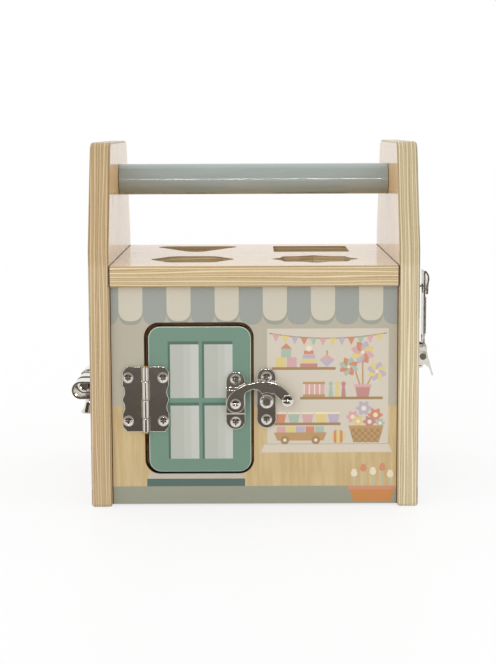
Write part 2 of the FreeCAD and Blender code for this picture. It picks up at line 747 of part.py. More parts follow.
def group(label, *parts):
    obj = doc.addObject("Part::Compound", label)
    obj.Links = list(parts)
    return obj


def turned(label, corners):
    """Profile drawn beside the Y axis and turned round it; its axis is then Z."""
    sketch = doc.addObject("Sketcher::SketchObject", label + "_profile")
    draw_loop(sketch, corners)
    obj = doc.addObject("Part::Revolution", label + "_round")
    obj.Source = sketch
    obj.Axis = Y_AXIS
    obj.Angle = 360
    obj.Solid = True
    holder = group(label, obj)
    holder.Placement = FreeCAD.Placement(vec(0, 0, 0), FreeCAD.Rotation(X_AXIS, 90))
    return holder


def dome_radius(radius, height):
    return (radius * radius + height * height) / (2 * height)


def screw(label):
    """Round head wood screw with a cross recess; the head sits on Z = 0."""
    head = dome_radius(d.head_radius, d.head_height)
    blank = turned(label + "_blank", [
        (0, -d.shank_length), (d.shank_radius, d.shank_point - d.shank_length),
        (d.shank_radius, 0), (d.head_radius, 0, head), (0, d.head_height)])
    half_slot, half_length = d.slot_width / 2, d.slot_length / 2
    floor = d.head_height - d.slot_depth
    bars = [box(label + "_slot_a", -half_length, -half_slot, floor,
                half_length, half_slot, d.head_height + 1),
            box(label + "_slot_b", -half_slot, -half_length, floor,
                half_slot, half_length, d.head_height + 1)]
    return cut(label, blank, *bars)


def screws(label, turn, seats):
    """One node of like screws, each seated at (x, y, z) in the world."""
    made = []
    for number, seat in enumerate(seats, start=1):
        made.append(place(screw(f"{label}_{number}"), turn, *seat))
    return group(label, *made)


def shank_holes(label, spots, high):
    return [rod(f"{label}_hole{number}", x, y, -1, d.shank_radius + d.hole_play, high + 2)
            for number, (x, y) in enumerate(spots, start=1)]


# carrying handle and dowels

handle_half = inner_half + d.handle_seat
handle_core = rod("carry_handle_core", -handle_half + d.handle_ease, 0, handle_level,
                  d.handle_radius, 2 * (handle_half - d.handle_ease), SWEEP)
handle_ends = []
for side, turn in ((-1, SWEEP), (1, axes(FRONT, UP, LEFT))):
    handle_ends.append(cone(f"carry_handle_end{side}", side * handle_half, 0, handle_level,
                            d.handle_radius - d.handle_ease, d.handle_radius,
                            d.handle_ease, turn))
fuse("carry_handle", handle_core, *handle_ends)


def dowels(label, centres, radius):
    """Four dowels, two at each end of a board."""
    pins = []
    for start in (-inner_half - d.dowel_seat, inner_half + d.dowel_seat - d.dowel_length):
        for y, z in centres:
            pins.append(rod(f"{label}_{len(pins) + 1}", start, y, z, radius,
                            d.dowel_length, SWEEP))
    group(label, *pins)


dowels("top_dowels", [(side * d.stout_spread, d.top_level - d.top_thick / 2)
                      for side in (-1, 1)], d.stout_radius)
dowels("front_dowels", [(-wall_middle, level) for level in (d.slim_low, d.slim_high)],
       d.slim_radius)
dowels("back_dowels", [(wall_middle, level) for level in (d.slim_low, d.slim_high)],
       d.slim_radius)
dowels("bottom_dowels", [(side * d.slim_spread, d.wall_thick / 2) for side in (-1, 1)],
       d.slim_radius)


# butt hinges: local X towards the door, Y along the pin, Z out of the wall

HALF_TURN = FreeCAD.Rotation(Z_AXIS, 180)
ALONG_Y = axes(RIGHT, UP, FRONT)


def hinge_leaf(label, turn, x, y, z):
    """Leaf with two knuckles, clipped corners and two bites in its long edge."""
    reach, half, clear = d.leaf_reach, d.leaf_half, d.leaf_clear
    across, up = reach - d.leaf_clip_across, half - d.leaf_clip_up
    outline = [
        (clear, -half), (across, -half), (reach, -up),
        (reach, -d.bite_end, -d.bite_radius), (reach, -d.bite_start),
        (reach, d.bite_start, -d.bite_radius), (reach, d.bite_end),
        (reach, up), (across, half), (clear, half)]
    sheet_metal = plate(label + "_sheet", 0, d.leaf_thick, outline)
    solids = [sheet_metal]
    play = d.knuckle_gap / 2
    for number, (low, high) in enumerate(((-d.knuckle_inner, Size(0)),
                                          (d.knuckle_inner, half)), start=1):
        solids.append(box(f"{label}_tab{number}", 0, low + play, 0,
                          clear + d.leaf_thick, high - play, d.leaf_thick))
        solids.append(rod(f"{label}_knuckle{number}", 0, high - play, d.axis_out,
                          d.knuckle_radius, high - low - d.knuckle_gap, ALONG_Y))
    eye = rod(label + "_eye", 0, half + 1, d.axis_out, d.pin_radius + d.pin_fit,
              2 * half + 2, ALONG_Y)
    spots = [(d.leaf_screw_across, side * d.leaf_screw_up) for side in (-1, 1)]
    leaf = cut(label, fuse(label + "_body", *solids), eye,
               *shank_holes(label, spots, d.leaf_thick))
    return place(leaf, turn, x, y, z)


def hinge(label, turn, x, y, z):
    """Both leaves, the pin and the screws of one hinge."""
    hinge_leaf(label + "_door_leaf", turn, x, y, z)
    hinge_leaf(label + "_frame_leaf", turn * HALF_TURN, x, y, z)
    length = 2 * d.leaf_half + d.knuckle_gap
    core = rod(label + "_pin_core", 0, length / 2, d.axis_out, d.pin_radius, length, ALONG_Y)
    caps = [rod(label + "_pin_cap1", 0, length / 2 + d.pin_cap, d.axis_out,
                d.pin_cap_radius, d.pin_cap, ALONG_Y),
            rod(label + "_pin_cap2", 0, -length / 2, d.axis_out,
                d.pin_cap_radius, d.pin_cap, ALONG_Y)]
    place(fuse(label + "_pin", core, *caps), turn, x, y, z)
    across, along, out = (turn.multVec(axis) for axis in (X_AXIS, Y_AXIS, Z_AXIS))
    for name, side in (("door", 1), ("frame", -1)):
        seats = []
        for up in (-1, 1):
            seats.append(tuple(
                origin + side * across[k] * d.leaf_screw_across
                + up * along[k] * d.leaf_screw_up + out[k] * d.leaf_thick
                for k, origin in enumerate((x, y, z))))
        screws(f"{label}_{name}_screws", turn, seats)


hinge("front_hinge", FRONT_WALL, front_axis, -face_level, d.hinge_level)
hinge("left_hinge", LEFT_WALL, -half_width, left_axis, d.hinge_level)
hinge("right_hinge", axes(UP, FRONT, RIGHT), half_width, right_middle, right_axis)


# swing hook latch on the front door


def on_front(obj):
    return place(obj, FRONT_WALL, 0, -face_level, 0)


def front_seat(x, z):
    return (x, -face_level - d.sheet_thick, z)


def two_spots(x, z):
    return [(x, z + side * d.catch_screw) for side in (-1, 1)]


hook_z = d.hook_plate_z
hook_sheet = plate("hook_plate_sheet", 0, d.sheet_thick,
                   capsule(hook_x, hook_z, d.hook_plate_half, d.hook_plate_radius))
bridge = plate("hook_plate_bridge", hook_x - d.hook_plate_radius, hook_x + d.hook_plate_radius,
               [(d.bridge_low - d.bridge_slope, 0), (d.bridge_high + d.bridge_slope, 0),
                (d.bridge_high, d.bridge_out), (d.bridge_low, d.bridge_out)], turn=SWEEP)
hook_bore = rod("hook_plate_bore", hook_x, d.hook_level, -1, d.rivet_radius, d.bridge_out + 2)
on_front(cut("hook_plate", fuse("hook_plate_body", hook_sheet, bridge), hook_bore,
             *shank_holes("hook_plate", two_spots(hook_x, hook_z), d.sheet_thick)))
screws("hook_plate_screws", FRONT_WALL,
       [front_seat(x, z) for x, z in two_spots(hook_x, hook_z)])

rivet_seat = d.arm_front + d.slide_gap
hook_rivet = turned("hook_rivet_round", [
    (0, 0), (d.rivet_radius, 0), (d.rivet_radius, rivet_seat), (d.rivet_head, rivet_seat,
     dome_radius(d.rivet_head, d.rivet_dome)), (0, rivet_seat + d.rivet_dome)])
place(group("hook_rivet", hook_rivet), FRONT_WALL, hook_x, -face_level, d.hook_level)

# the outline of the arm in parts of its reach, and round the button and the knob
arm_band = plate(
    "hook_arm_band", d.arm_back, d.arm_front,
    corners_by(
        hook_x, d.hook_level, d.knob_reach, (-0.173, 0.033), (0, 0), (0.173, 0.033),
        (0.177, 0.173, -0.073), (0.237, 0.24, -0.197), (0.46, 0.253))
    + corners_by(catch_x, d.button_z, d.notch_radius, (-0.5, 0.866, -1), (0.5, 0.866))
    + corners_by(knob_x, d.knob_z, d.knob_radius, (-2.42, 1.27), (-0.91, -0.12), (0, 0),
                 (0.73, 0.667, 5.6))
    + corners_by(hook_x, d.hook_level, d.knob_reach, (0.523, 0.427, 0.93),
                 (-0.053, 0.223, 0.3)))
arm_eye = rod("hook_arm_eye", hook_x, d.hook_level, d.arm_back, d.arm_eye,
              d.arm_front - d.arm_back)
arm_end = rod("hook_arm_end", knob_x, d.knob_z, d.arm_back, d.knob_radius,
              d.arm_front - d.arm_back)
arm_holes = [rod("hook_arm_bore", hook_x, d.hook_level, 0, d.rivet_radius + d.pin_fit,
                 d.arm_front + 2),
             rod("hook_arm_stem", knob_x, d.knob_z, 0, d.knob_stem, d.arm_front + 2)]
on_front(cut("hook_arm", fuse("hook_arm_body", arm_band, arm_eye, arm_end), *arm_holes))

knob_rim = d.arm_front + d.knob_out / 2
knob = turned("hook_knob_round", [
    (0, d.arm_back), (d.knob_stem, d.arm_back), (d.knob_stem, d.arm_front),
    (d.knob_radius, d.arm_front), (d.knob_radius, knob_rim,
     dome_radius(d.knob_radius, d.knob_out / 2)), (0, d.arm_front + d.knob_out)])
place(group("hook_knob", knob), FRONT_WALL, knob_x, -face_level, d.knob_z)

catch_sheet = plate("catch_plate_sheet", 0, d.sheet_thick,
                    capsule(catch_x, d.catch_z, d.catch_half, d.hook_plate_radius))
catch_bore = rod("catch_plate_bore", catch_x, d.button_z, -1, d.button_neck, d.sheet_thick + 2)
on_front(cut("catch_plate", catch_sheet, catch_bore,
             *shank_holes("catch_plate", two_spots(catch_x, d.catch_z), d.sheet_thick)))
screws("catch_plate_screws", FRONT_WALL,
       [front_seat(x, z) for x, z in two_spots(catch_x, d.catch_z)])
button_rim = d.button_front - d.button_shoulder
button = turned("catch_button_round", [
    (0, 0), (d.button_neck, 0), (d.button_neck, d.button_back), (d.button_radius, d.button_back),
    (d.button_radius, button_rim, d.button_round),
    (d.button_dish + d.button_lip, d.button_front),
    (d.button_dish, d.button_front - d.button_hollow), (0, d.button_front - d.button_hollow)])
place(group("catch_button", button), FRONT_WALL, catch_x, -face_level, d.button_z)


# barrel bolt on the left door and its keeper; local X towards the front


def arch(half, middle, foot):
    """Upright wall section with a half round back, open towards the wood."""
    return [(-half, foot), (half, foot), (half, middle, half), (0, middle + half, half),
            (-half, middle)]


def on_left(obj, z=d.bolt_level):
    return place(obj, LEFT_WALL, -half_width, 0, z)


guide_outline = arch(d.guide_half, d.guide_arch, 0)
rear_guide_front = (fore_guide_front - d.fore_guide_length - d.bolt_travel
                    - d.handle_width - 2 * d.slide_gap)
plate_back = plate_front - d.plate_length
bolt_sheet = plate("bolt_base_sheet", 0, d.sheet_thick,
                   rectangle(plate_back, -d.plate_half, plate_front, d.plate_half))
fore_guide = plate("bolt_base_fore", fore_guide_front - d.fore_guide_length,
                   fore_guide_front, guide_outline, turn=SWEEP)
rear_guide = plate("bolt_base_rear", rear_guide_front - d.rear_guide_length,
                   rear_guide_front, guide_outline, turn=SWEEP)
bolt_bore = rod("bolt_base_bore", plate_back - 1, 0, d.bolt_axis_out,
                d.bolt_radius + d.bolt_fit, d.plate_length + 2, SWEEP)
plate_spots = [(along, side * d.bolt_screw_up)
               for along in (plate_screw_front, plate_screw_back) for side in (-1, 1)]
on_left(cut("bolt_base", fuse("bolt_base_body", bolt_sheet, fore_guide, rear_guide),
            bolt_bore, *shank_holes("bolt_base", plate_spots, d.sheet_thick)))
screws("bolt_base_screws", LEFT_WALL,
       [(-half_width - d.sheet_thick, -x, d.bolt_level + y) for x, y in plate_spots])

bolt_core = rod("bolt_rod_core", bolt_tip - d.bolt_length, 0, d.bolt_axis_out,
                d.bolt_radius, d.bolt_length - d.bolt_nose, SWEEP)
bolt_nose = cone("bolt_rod_nose", bolt_tip - d.bolt_nose, 0, d.bolt_axis_out,
                 d.bolt_radius, d.bolt_nose_radius, d.bolt_nose, SWEEP)
on_left(fuse("bolt_rod", bolt_core, bolt_nose))

handle_back = rear_guide_front + d.slide_gap
ring = rod("bolt_handle_ring", handle_back, 0, d.bolt_axis_out, d.ring_radius,
           d.handle_width, SWEEP)
tail = place(turned("bolt_handle_tail", [
    (0, -d.tail_drop), (d.bell_radius - d.bell_lip, -d.tail_drop, d.bell_lip),
    (d.bell_radius, d.bell_lip - d.tail_drop, -d.bell_curve),
    (d.neck_radius, d.bell_height - d.tail_drop), (d.neck_radius, -d.bolt_radius / 2),
    (0, -d.bolt_radius / 2)]), WORLD, handle_back + d.handle_width / 2, 0, d.bolt_axis_out)
ring_bore = rod("bolt_handle_bore", handle_back - 1, 0, d.bolt_axis_out, d.bolt_radius,
                d.handle_width + 2, SWEEP)
on_left(cut("bolt_handle", fuse("bolt_handle_body", ring, tail), ring_bore))

keeper_front = keeper_rear + d.keeper_length
keeper_arch = plate("keeper_arch", keeper_rear, keeper_front, guide_outline, turn=SWEEP)
keeper_feet = plate("keeper_feet", 0, d.sheet_thick,
                    rectangle(keeper_rear, -d.plate_half, keeper_front, d.plate_half))
keeper_room = plate("keeper_room", keeper_rear - 1, keeper_front + 1,
                    arch(d.keeper_inner, d.guide_arch, -1), turn=SWEEP)
keeper_spots = [(keeper_middle, side * d.bolt_screw_up) for side in (-1, 1)]
on_left(cut("keeper", fuse("keeper_body", keeper_arch, keeper_feet), keeper_room,
            *shank_holes("keeper", keeper_spots, d.sheet_thick)))
screws("keeper_screws", LEFT_WALL,
       [(-half_width - d.sheet_thick, -x, d.bolt_level + y) for x, y in keeper_spots])


# lever latch on the right door and its strike; local X towards the back


def on_right(obj):
    return place(obj, RIGHT_WALL, half_width, right_middle, 0)


def pair(label, inner, outer, loop):
    """The same sheet at equal distances on both sides of the middle."""
    return [plate(label + "_a", inner, outer, loop, turn=SWEEP),
            plate(label + "_b", -outer, -inner, loop, turn=SWEEP)]


def rod_pair(label, inner, outer, y, z, radius):
    return [rod(label + "_a", inner, y, z, radius, outer - inner, SWEEP),
            rod(label + "_b", -outer, y, z, radius, outer - inner, SWEEP)]


link_z = d.pivot_z - d.link_drop
link_out = d.pivot_out - d.link_in

base_sheet = plate("latch_base_sheet", 0, d.sheet_thick,
                   rectangle(-d.base_half, d.base_low, d.base_half, d.base_high))
ear_low, ear_high = d.pivot_z - d.ear_drop, d.pivot_z + d.ear_rise
ear_front = d.pivot_out + d.ear_reach
ears = pair("latch_base_ear", d.ear_inner, d.ear_outer, [
    (ear_low, 0), (ear_high, 0), (ear_high, ear_front - d.ear_round, d.ear_round),
    (ear_high - d.ear_round, ear_front), (ear_low + d.ear_round, ear_front, d.ear_round),
    (ear_low, ear_front - d.ear_round)])
pivot_bore = rod("latch_base_bore", -d.base_half, d.pivot_z, d.pivot_out, d.pivot_radius,
                 2 * d.base_half, SWEEP)
base_spots = [(side * d.base_screw, level) for level in base_screws for side in (-1, 1)]
on_right(cut("latch_base", fuse("latch_base_body", base_sheet, *ears), pivot_bore,
             *shank_holes("latch_base", base_spots, d.sheet_thick)))
screws("latch_base_screws", RIGHT_WALL,
       [(half_width + d.sheet_thick, right_middle + x, z) for x, z in base_spots])

rivet_inner = d.cheek_inner - d.slide_gap
rivets = []
for number, side in enumerate(("a", "b")):
    stem, outer_head, inner_head = (
        rod_pair("latch_rivet_stem", rivet_inner, d.ear_outer, d.pivot_z, d.pivot_out,
                 d.pivot_radius)[number],
        rod_pair("latch_rivet_outer", d.ear_outer, d.ear_outer + d.pivot_cap, d.pivot_z,
                 d.pivot_out, d.pivot_head)[number],
        rod_pair("latch_rivet_inner", rivet_inner - d.pivot_cap, rivet_inner, d.pivot_z,
                 d.pivot_out, d.pivot_head)[number])
    rivets.append(fuse(f"latch_rivet_{side}", stem, outer_head, inner_head))
on_right(group("latch_rivets", *rivets))

lever_drop = d.pivot_z - d.lever_foot
lever_sheet = plate("latch_lever_sheet", -d.lever_half, d.lever_half, [
    (d.lever_head, d.lever_head_out - d.lever_skin),
    (d.lever_foot, d.lever_foot_out - d.lever_skin), (d.lever_foot, d.lever_foot_out),
    (d.lever_head, d.lever_head_out)], turn=SWEEP)
cheeks = pair("latch_lever_cheek", d.cheek_inner, d.lever_half, corners_by(
    d.pivot_z, d.pivot_out, lever_drop, (-0.672, 0.426), (-0.414, 0.103, 0.4264),
    (0, -0.4264, 0.4264), (0.4115, 0.1107)))
eyes = (rod_pair("latch_lever_pivot", d.cheek_inner, d.lever_half, d.pivot_z, d.pivot_out,
                 d.link_eye)
        + rod_pair("latch_lever_link", d.cheek_inner, d.lever_half, link_z, link_out,
                   d.link_eye))
lever_bores = [rod("latch_lever_bore1", -d.base_half, d.pivot_z, d.pivot_out,
                   d.pivot_radius + d.pin_fit, 2 * d.base_half, SWEEP),
               rod("latch_lever_bore2", -d.base_half, link_z, link_out, d.link_radius,
                   2 * d.base_half, SWEEP)]
on_right(cut("latch_lever", fuse("latch_lever_body", lever_sheet, *cheeks, *eyes),
             *lever_bores))
on_right(group("latch_link_pins",
               *rod_pair("latch_link_pin", d.cheek_inner, d.link_outer, link_z,
                         link_out, d.link_radius)))

draw_front = d.draw_back + d.draw_thick
tongue_front = d.draw_back + d.tongue_reach
tongue_end = tongue_front - d.tongue_lean
bend = d.curl_round * math.sqrt(0.5)
draw_profile = plate("draw_plate_profile", -d.draw_half, d.draw_half, [
    (draw_foot, d.draw_back), (d.curl_level, d.draw_back, d.curl_round),
    (d.curl_level + bend, d.draw_back + d.curl_round + bend, d.tongue_round),
    (d.tongue_side, tongue_front), (d.curl_foot, tongue_end),
    (d.curl_foot, tongue_end - d.draw_thick),
    (d.tongue_side + 0.3 * d.draw_thick, tongue_front - 0.955 * d.draw_thick,
     d.draw_thick - d.tongue_round),
    (d.curl_level - 0.46 * d.draw_thick, draw_front), (draw_foot, draw_front)], turn=SWEEP)
arm_inside = d.arm_out - d.draw_thick
half_sheet = d.draw_thick / 2
arms = pair("draw_plate_arm", d.link_inner, d.link_outer, [
    (draw_foot + half_sheet, d.draw_back), (draw_foot + half_sheet, draw_front),
    (arm_lean_high, draw_front), (arm_lean_low, d.arm_out), (d.arm_turn, d.arm_out),
    (link_z - half_sheet, link_out + d.draw_thick),
    (link_z + half_sheet, link_out - half_sheet), (d.arm_turn + half_sheet, arm_inside),
    (arm_lean_low - half_sheet, arm_inside), (arm_lean_high - half_sheet, d.draw_back)])
arm_tips = rod_pair("draw_plate_tip", d.link_inner, d.link_outer, link_z, link_out, d.link_eye)
raised = box("draw_plate_raised", -d.panel_half, panel_low, draw_front,
             d.panel_half, d.panel_high, d.panel_out)
window = box("draw_plate_window", -d.window_half, d.window_low, d.draw_back - d.draw_thick,
             d.window_half, d.window_high, draw_front + d.slide_gap)
link_bore = rod("draw_plate_bore", -d.base_half, link_z, link_out, d.link_radius + d.pin_fit,
                2 * d.base_half, SWEEP)
on_right(cut("draw_plate", fuse("draw_plate_body", draw_profile, raised, *arms, *arm_tips),
             window, link_bore))

strike_sheet = plate("strike_sheet", 0, d.strike_thick,
                     rectangle(-d.strike_half, d.strike_low, d.strike_half, d.strike_high))
lip = box("strike_lip", -d.lip_half, d.lip_top - d.strike_thick, 0,
          d.lip_half, d.lip_top, d.lip_out)
strike_spots = [(0, level) for level in strike_screws]
on_right(cut("strike", fuse("strike_body", strike_sheet, lip),
             *shank_holes("strike", strike_spots, d.strike_thick)))
screws("strike_screws", RIGHT_WALL,
       [(half_width + d.strike_thick, right_middle, z) for z in strike_screws])

NODES = (
    "side_board_left", "side_board_right", "top_board", "front_board", "back_board",
    "bottom_board", "carry_handle", "top_dowels", "front_dowels", "back_dowels",
    "bottom_dowels",
    "front_door", "front_hinge_frame_leaf", "front_hinge_door_leaf", "front_hinge_pin",
    "front_hinge_frame_screws", "front_hinge_door_screws", "hook_plate",
    "hook_plate_screws", "hook_rivet", "hook_arm", "hook_knob", "catch_plate",
    "catch_plate_screws", "catch_button",
    "left_door", "left_hinge_frame_leaf", "left_hinge_door_leaf", "left_hinge_pin",
    "left_hinge_frame_screws", "left_hinge_door_screws", "bolt_base",
    "bolt_base_screws", "bolt_rod", "bolt_handle", "keeper", "keeper_screws",
    "right_door", "right_hinge_frame_leaf", "right_hinge_door_leaf", "right_hinge_pin",
    "right_hinge_frame_screws", "right_hinge_door_screws", "latch_base",
    "latch_base_screws", "latch_rivets", "latch_lever", "latch_link_pins",
    "draw_plate", "strike", "strike_screws",
)

doc.recompute()
faults = [item.Label for item in doc.Objects if {"Invalid", "Error"} & set(item.State)]
if faults:
    raise RuntimeError(f"objects in error: {faults}")

os.makedirs("parts", exist_ok=True)
for name in NODES:
    node = doc.getObjectsByLabel(name)[0]
    shape = node.Shape
    if shape.isNull() or not shape.isValid() or not shape.Solids:
        raise RuntimeError(f"{name} has no sound solid")
    shape.exportStep(f"parts/{name}.step")
    print(f"{name}: {len(shape.Solids)} solids, {shape.Volume:.1f} mm3")
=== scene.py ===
"""Finishes and studio for the carrying activity cube of plywood.

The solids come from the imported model.  Every board, door, print and metal
piece gets its finish here.  Prints are drawn in millimetres on their board.
"""

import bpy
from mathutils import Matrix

bl_info = {
    "name": "Carrying activity cube",
    "version": (1, 0, 0),
    "blender": (4, 5, 0),
    "location": "View3D > Sidebar > Activity cube",
    "description": "Finishes and studio for a plywood activity cube with three doors",
    "category": "Material",
}

import math

import bpy
from bpy.props import FloatProperty, FloatVectorProperty, PointerProperty
from mathutils import Matrix, Vector

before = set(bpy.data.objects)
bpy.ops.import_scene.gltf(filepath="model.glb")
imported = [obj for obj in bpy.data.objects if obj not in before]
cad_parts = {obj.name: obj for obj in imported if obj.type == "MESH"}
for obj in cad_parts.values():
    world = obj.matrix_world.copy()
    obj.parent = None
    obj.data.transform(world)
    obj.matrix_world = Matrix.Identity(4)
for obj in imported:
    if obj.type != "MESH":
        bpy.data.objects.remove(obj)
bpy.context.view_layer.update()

MM = 1000.0
X, Y, Z = range(3)

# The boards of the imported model, in millimetres
THICK, THIN = 12.0, 8.0     # plywood of the sides and the top, and of the rest
SIDE_INNER = 83.0           # inner faces of the side boards, from the middle
FRONT_FACE = 78.5           # printed face of the front board and door, before the middle
BACK_INNER = 70.5           # inner face of the back board
TOP_UNDER = 129.0           # underside of the top board
HANDLE_HEIGHT = 187.75      # middle of the carrying handle
SIDE_DOORWAY = (-46.0, 31.5, 19.0, 108.3)    # left, right, low and high bound
FRONT_DOORWAY = (-64.0, 0.0, 19.0, 108.4)
PLY_PAIRS = 0.42            # pairs of plies in a millimetre of board


# ---------------------------------------------------------------- settings

def paint(*parts):
    """A colour from its red, green and blue of 0 to 255."""
    return [part / 255 for part in parts]


def toned(shade, by):
    """A colour made darker, or lighter where by is over 1."""
    return [part * by for part in shade]


def colour(name, description, *parts):
    """A colour setting, as it is seen on the screen."""
    return FloatVectorProperty(name=name, description=description, size=3, min=0.0, max=1.0,
                               subtype="COLOR_GAMMA", default=paint(*parts))


def factor(name, description, *parts):
    """What red, green and blue are multiplied by."""
    return FloatVectorProperty(name=name, description=description, size=3, min=0.0, max=2.0,
                               default=parts)


def length(name, description, millimetres):
    """A length setting."""
    return FloatProperty(name=name, description=description, unit="LENGTH", subtype="DISTANCE",
                         default=millimetres / MM)


def share(name, description, default, top=1.0):
    """A plain number from nought up."""
    return FloatProperty(name=name, description=description, min=0.0, max=top, default=default)


class WoodSettings(bpy.types.PropertyGroup):
    """Plywood of the boards and doors."""
    veneer_pale: colour("Pale veneer", "Light parts of the face veneer", 235, 205, 159)
    veneer_warm: colour("Warm veneer", "Darker streaks of the face veneer", 217, 182, 132)
    ply_pale: colour("Long ply", "Thin plies cut along their fibres", 226, 206, 168)
    ply_dark: colour("Cross ply", "Plies cut across their fibres", 196, 172, 133)
    glue: colour("Glue line", "Thin lines between two plies", 142, 116, 80)
    # Burnt edge: laser burn on the cut edges, made darker still as painted shade in the door gaps.
    burnt_and_gap_shade: colour("Burnt edge", "Edges of the cut doors and doorways", 33, 28, 22)
    # Dark seam line: painted shade where two boards meet flush without a gap.
    joint: colour("Joint", "Dark line where two boards meet", 74, 53, 33)
    # Painted shade and light: the same plywood's sawn edges are made darker on the left board and
    # paler and bluer on the right one.
    painted_shade_left: factor("Left painted shade", "Cast of the left board's edges", 0.90, 0.87, 0.855)
    painted_light_right: factor("Right painted light", "Cast of the right board's edges", 1.01, 1.10, 1.19)
    # Painted shade that darkens the sloping upper sawn edges.
    painted_shade_upper: factor("Upper painted shade", "Cast of the edges beside the handle", 0.91, 0.895, 0.86)
    varnish: share("Varnish", "Weight of the clear varnish", 0.78)
    varnish_gloss: share("Varnish roughness", "Roughness of the clear varnish", 0.06)


class ShopPrintSettings(bpy.types.PropertyGroup):
    """Printed shop front."""
    awning: colour("Awning", "Dark stripes of the awning", 156, 159, 152)
    awning_pale: colour("Awning, pale", "Pale stripes of the awning", 202, 195, 178)
    scallop_rim: colour("Scallop rim", "Shadow under the pale scallops", 157, 158, 144)
    wall: colour("Wall", "Upper wall", 180, 173, 156)
    plank: colour("Planks", "Light parts of the plank wall", 205, 183, 139)
    plank_grain: colour("Plank grain", "Streaks of the plank wall", 193, 168, 123)
    base: colour("Base", "Band along the floor", 150, 151, 134)
    doorstep: colour("Doorstep", "Pale strip under the door", 191, 182, 167)
    step: colour("Step", "Green strip under the door", 84, 107, 100)
    window: colour("Window", "Ground of the shop window", 207, 198, 182)
    sill: colour("Sill", "Window sill", 211, 199, 183)
    shelf: colour("Shelf", "Shelves in the window", 163, 134, 98)
    stripe: length("Stripe", "Width of an awning stripe", 13.85)


class DoorSettings(bpy.types.PropertyGroup):
    """Painted front door and the prints of the side walls."""
    green: colour("Door green", "Paint of the front door", 115, 143, 126)
    # Door rim: painted highlight along the rounded rim of the doors.
    rim: colour("Door rim", "Pale worn rim of the door", 205, 221, 210)
    shade: colour("Door shade", "Shadow beside the panes", 86, 114, 98)
    pane: colour("Pane", "Left part of the panes", 181, 183, 173)
    pane_pale: colour("Pale pane", "Right part of the panes", 194, 196, 188)
    rose_wall: colour("Left wall", "Print of the left side", 203, 172, 160)
    rose_deep: colour("Left trim", "Darker print of the left side", 178, 134, 124)
    cream_wall: colour("Right wall", "Print of the right side", 213, 203, 185)
    lilac: colour("Right trim", "Darker print of the right side", 176, 166, 178)


class MetalSettings(bpy.types.PropertyGroup):
    """Nickel fittings and the painted handle."""
    nickel: colour("Nickel", "Plated steel", 226, 221, 211)
    nickel_roughness: share("Nickel roughness", "Roughness of the plating", 0.09)
    # Painted shade in the corners and hollows of the fittings.
    painted_corner_shade: colour("Painted corner shade", "Dark corners of the fittings", 92, 84, 72)
    # Painted highlight along the rounded edges of the fittings.
    painted_highlight: colour("Painted edge highlight", "Bright worn edges of the fittings", 250, 248, 243)
    brass: colour("Brass", "Hinge pins", 222, 184, 98)
    pivot: colour("Pivots", "Rivets and link pins of the lever latch", 122, 113, 98)
    handle: colour("Handle", "Paint of the carrying handle", 156, 165, 162)


class StudioSettings(bpy.types.PropertyGroup):
    """Surroundings, lamps and camera."""
    sky: share("Sky", "Strength of the white surroundings", 0.93, 4.0)
    key: share("Key lamp", "Strength of the soft lamp from the front", 0.78, 20.0)
    strip: share("Strip lamp", "Power of the narrow lamp that glints on paint", 1.5, 20.0)
    lens: FloatProperty(name="Lens", description="Focal length", unit="CAMERA", default=85.12)


class CubeSettings(bpy.types.PropertyGroup):
    """All settings of the activity cube."""
    wood: PointerProperty(type=WoodSettings)
    shop: PointerProperty(type=ShopPrintSettings)
    door: PointerProperty(type=DoorSettings)
    metal: PointerProperty(type=MetalSettings)
    studio: PointerProperty(type=StudioSettings)


# ------------------------------------------------------------ shader maths

def linear(shade):
    """Screen colour to the linear colour of a shader socket."""
    return [part / 12.92 if part <= 0.04045 else ((part + 0.055) / 1.055) ** 2.4
            for part in shade] + [1.0]


class Val:
    """A socket of a finish.  Sums on it add Math nodes."""

    def __init__(self, finish, socket):
        self.finish = finish
        self.socket = socket

    def __add__(self, other):
        return self.finish.math("ADD", self, other)

    def __radd__(self, other):
        return self.finish.math("ADD", other, self)

    def __sub__(self, other):
        return self.finish.math("SUBTRACT", self, other)

    def __rsub__(self, other):
        return self.finish.math("SUBTRACT", other, self)

    def __mul__(self, other):
        return self.finish.math("MULTIPLY", self, other)

    def __rmul__(self, other):
        return self.finish.math("MULTIPLY", other, self)

    def __truediv__(self, other):
        return self.finish.math("DIVIDE", self, other)

    def __rtruediv__(self, other):
        return self.finish.math("DIVIDE", other, self)

    def __pow__(self, other):
        return self.finish.math("POWER", self, other)

    def __mod__(self, other):
        return self.finish.math("FLOORED_MODULO", self, other)

    def __lt__(self, other):
        return self.finish.math("LESS_THAN", self, other)

    def __gt__(self, other):
        return self.finish.math("GREATER_THAN", self, other)

    def __abs__(self):
        return self.finish.math("ABSOLUTE", self)

    def near(self, middle, reach):
        """1 where the value is within reach of the middle."""
        return self.finish.math("COMPARE", self, middle, reach)

    def within(self, low, high):
        """1 between two bounds."""
        return self.near((low + high) / 2, (high - low) / 2)

    def floor(self):
        """The whole number below the value."""
        return self.finish.math("FLOOR", self)

    def ramp(self, *stops):
        """A colour from soft stops of (place, colour)."""
        return self.finish.node(
            "ValToRGB", {"stops": [(at, linear(shade)) for at, shade in stops]}, {"Fac": self})

    def either(self, other):
        """The larger of two masks."""
        return self.finish.math("MAXIMUM", self, other)

    def ease(self, low, high):
        """0 at the low bound to 1 at the high one, with soft ends."""
        return self.finish.node("MapRange", {"interpolation_type": "SMOOTHSTEP"},
                                {"Value": self, "From Min": low, "From Max": high})

    def pick(self, shades):
        """One of several colours, by whole numbers from nought."""
        steps = len(shades)
        stops = [(step / steps, linear(shade)) for step, shade in enumerate(shades)]
        return self.finish.node("ValToRGB", {"stops": stops, "steps": True},
                                {"Fac": (self + 0.5) / steps})


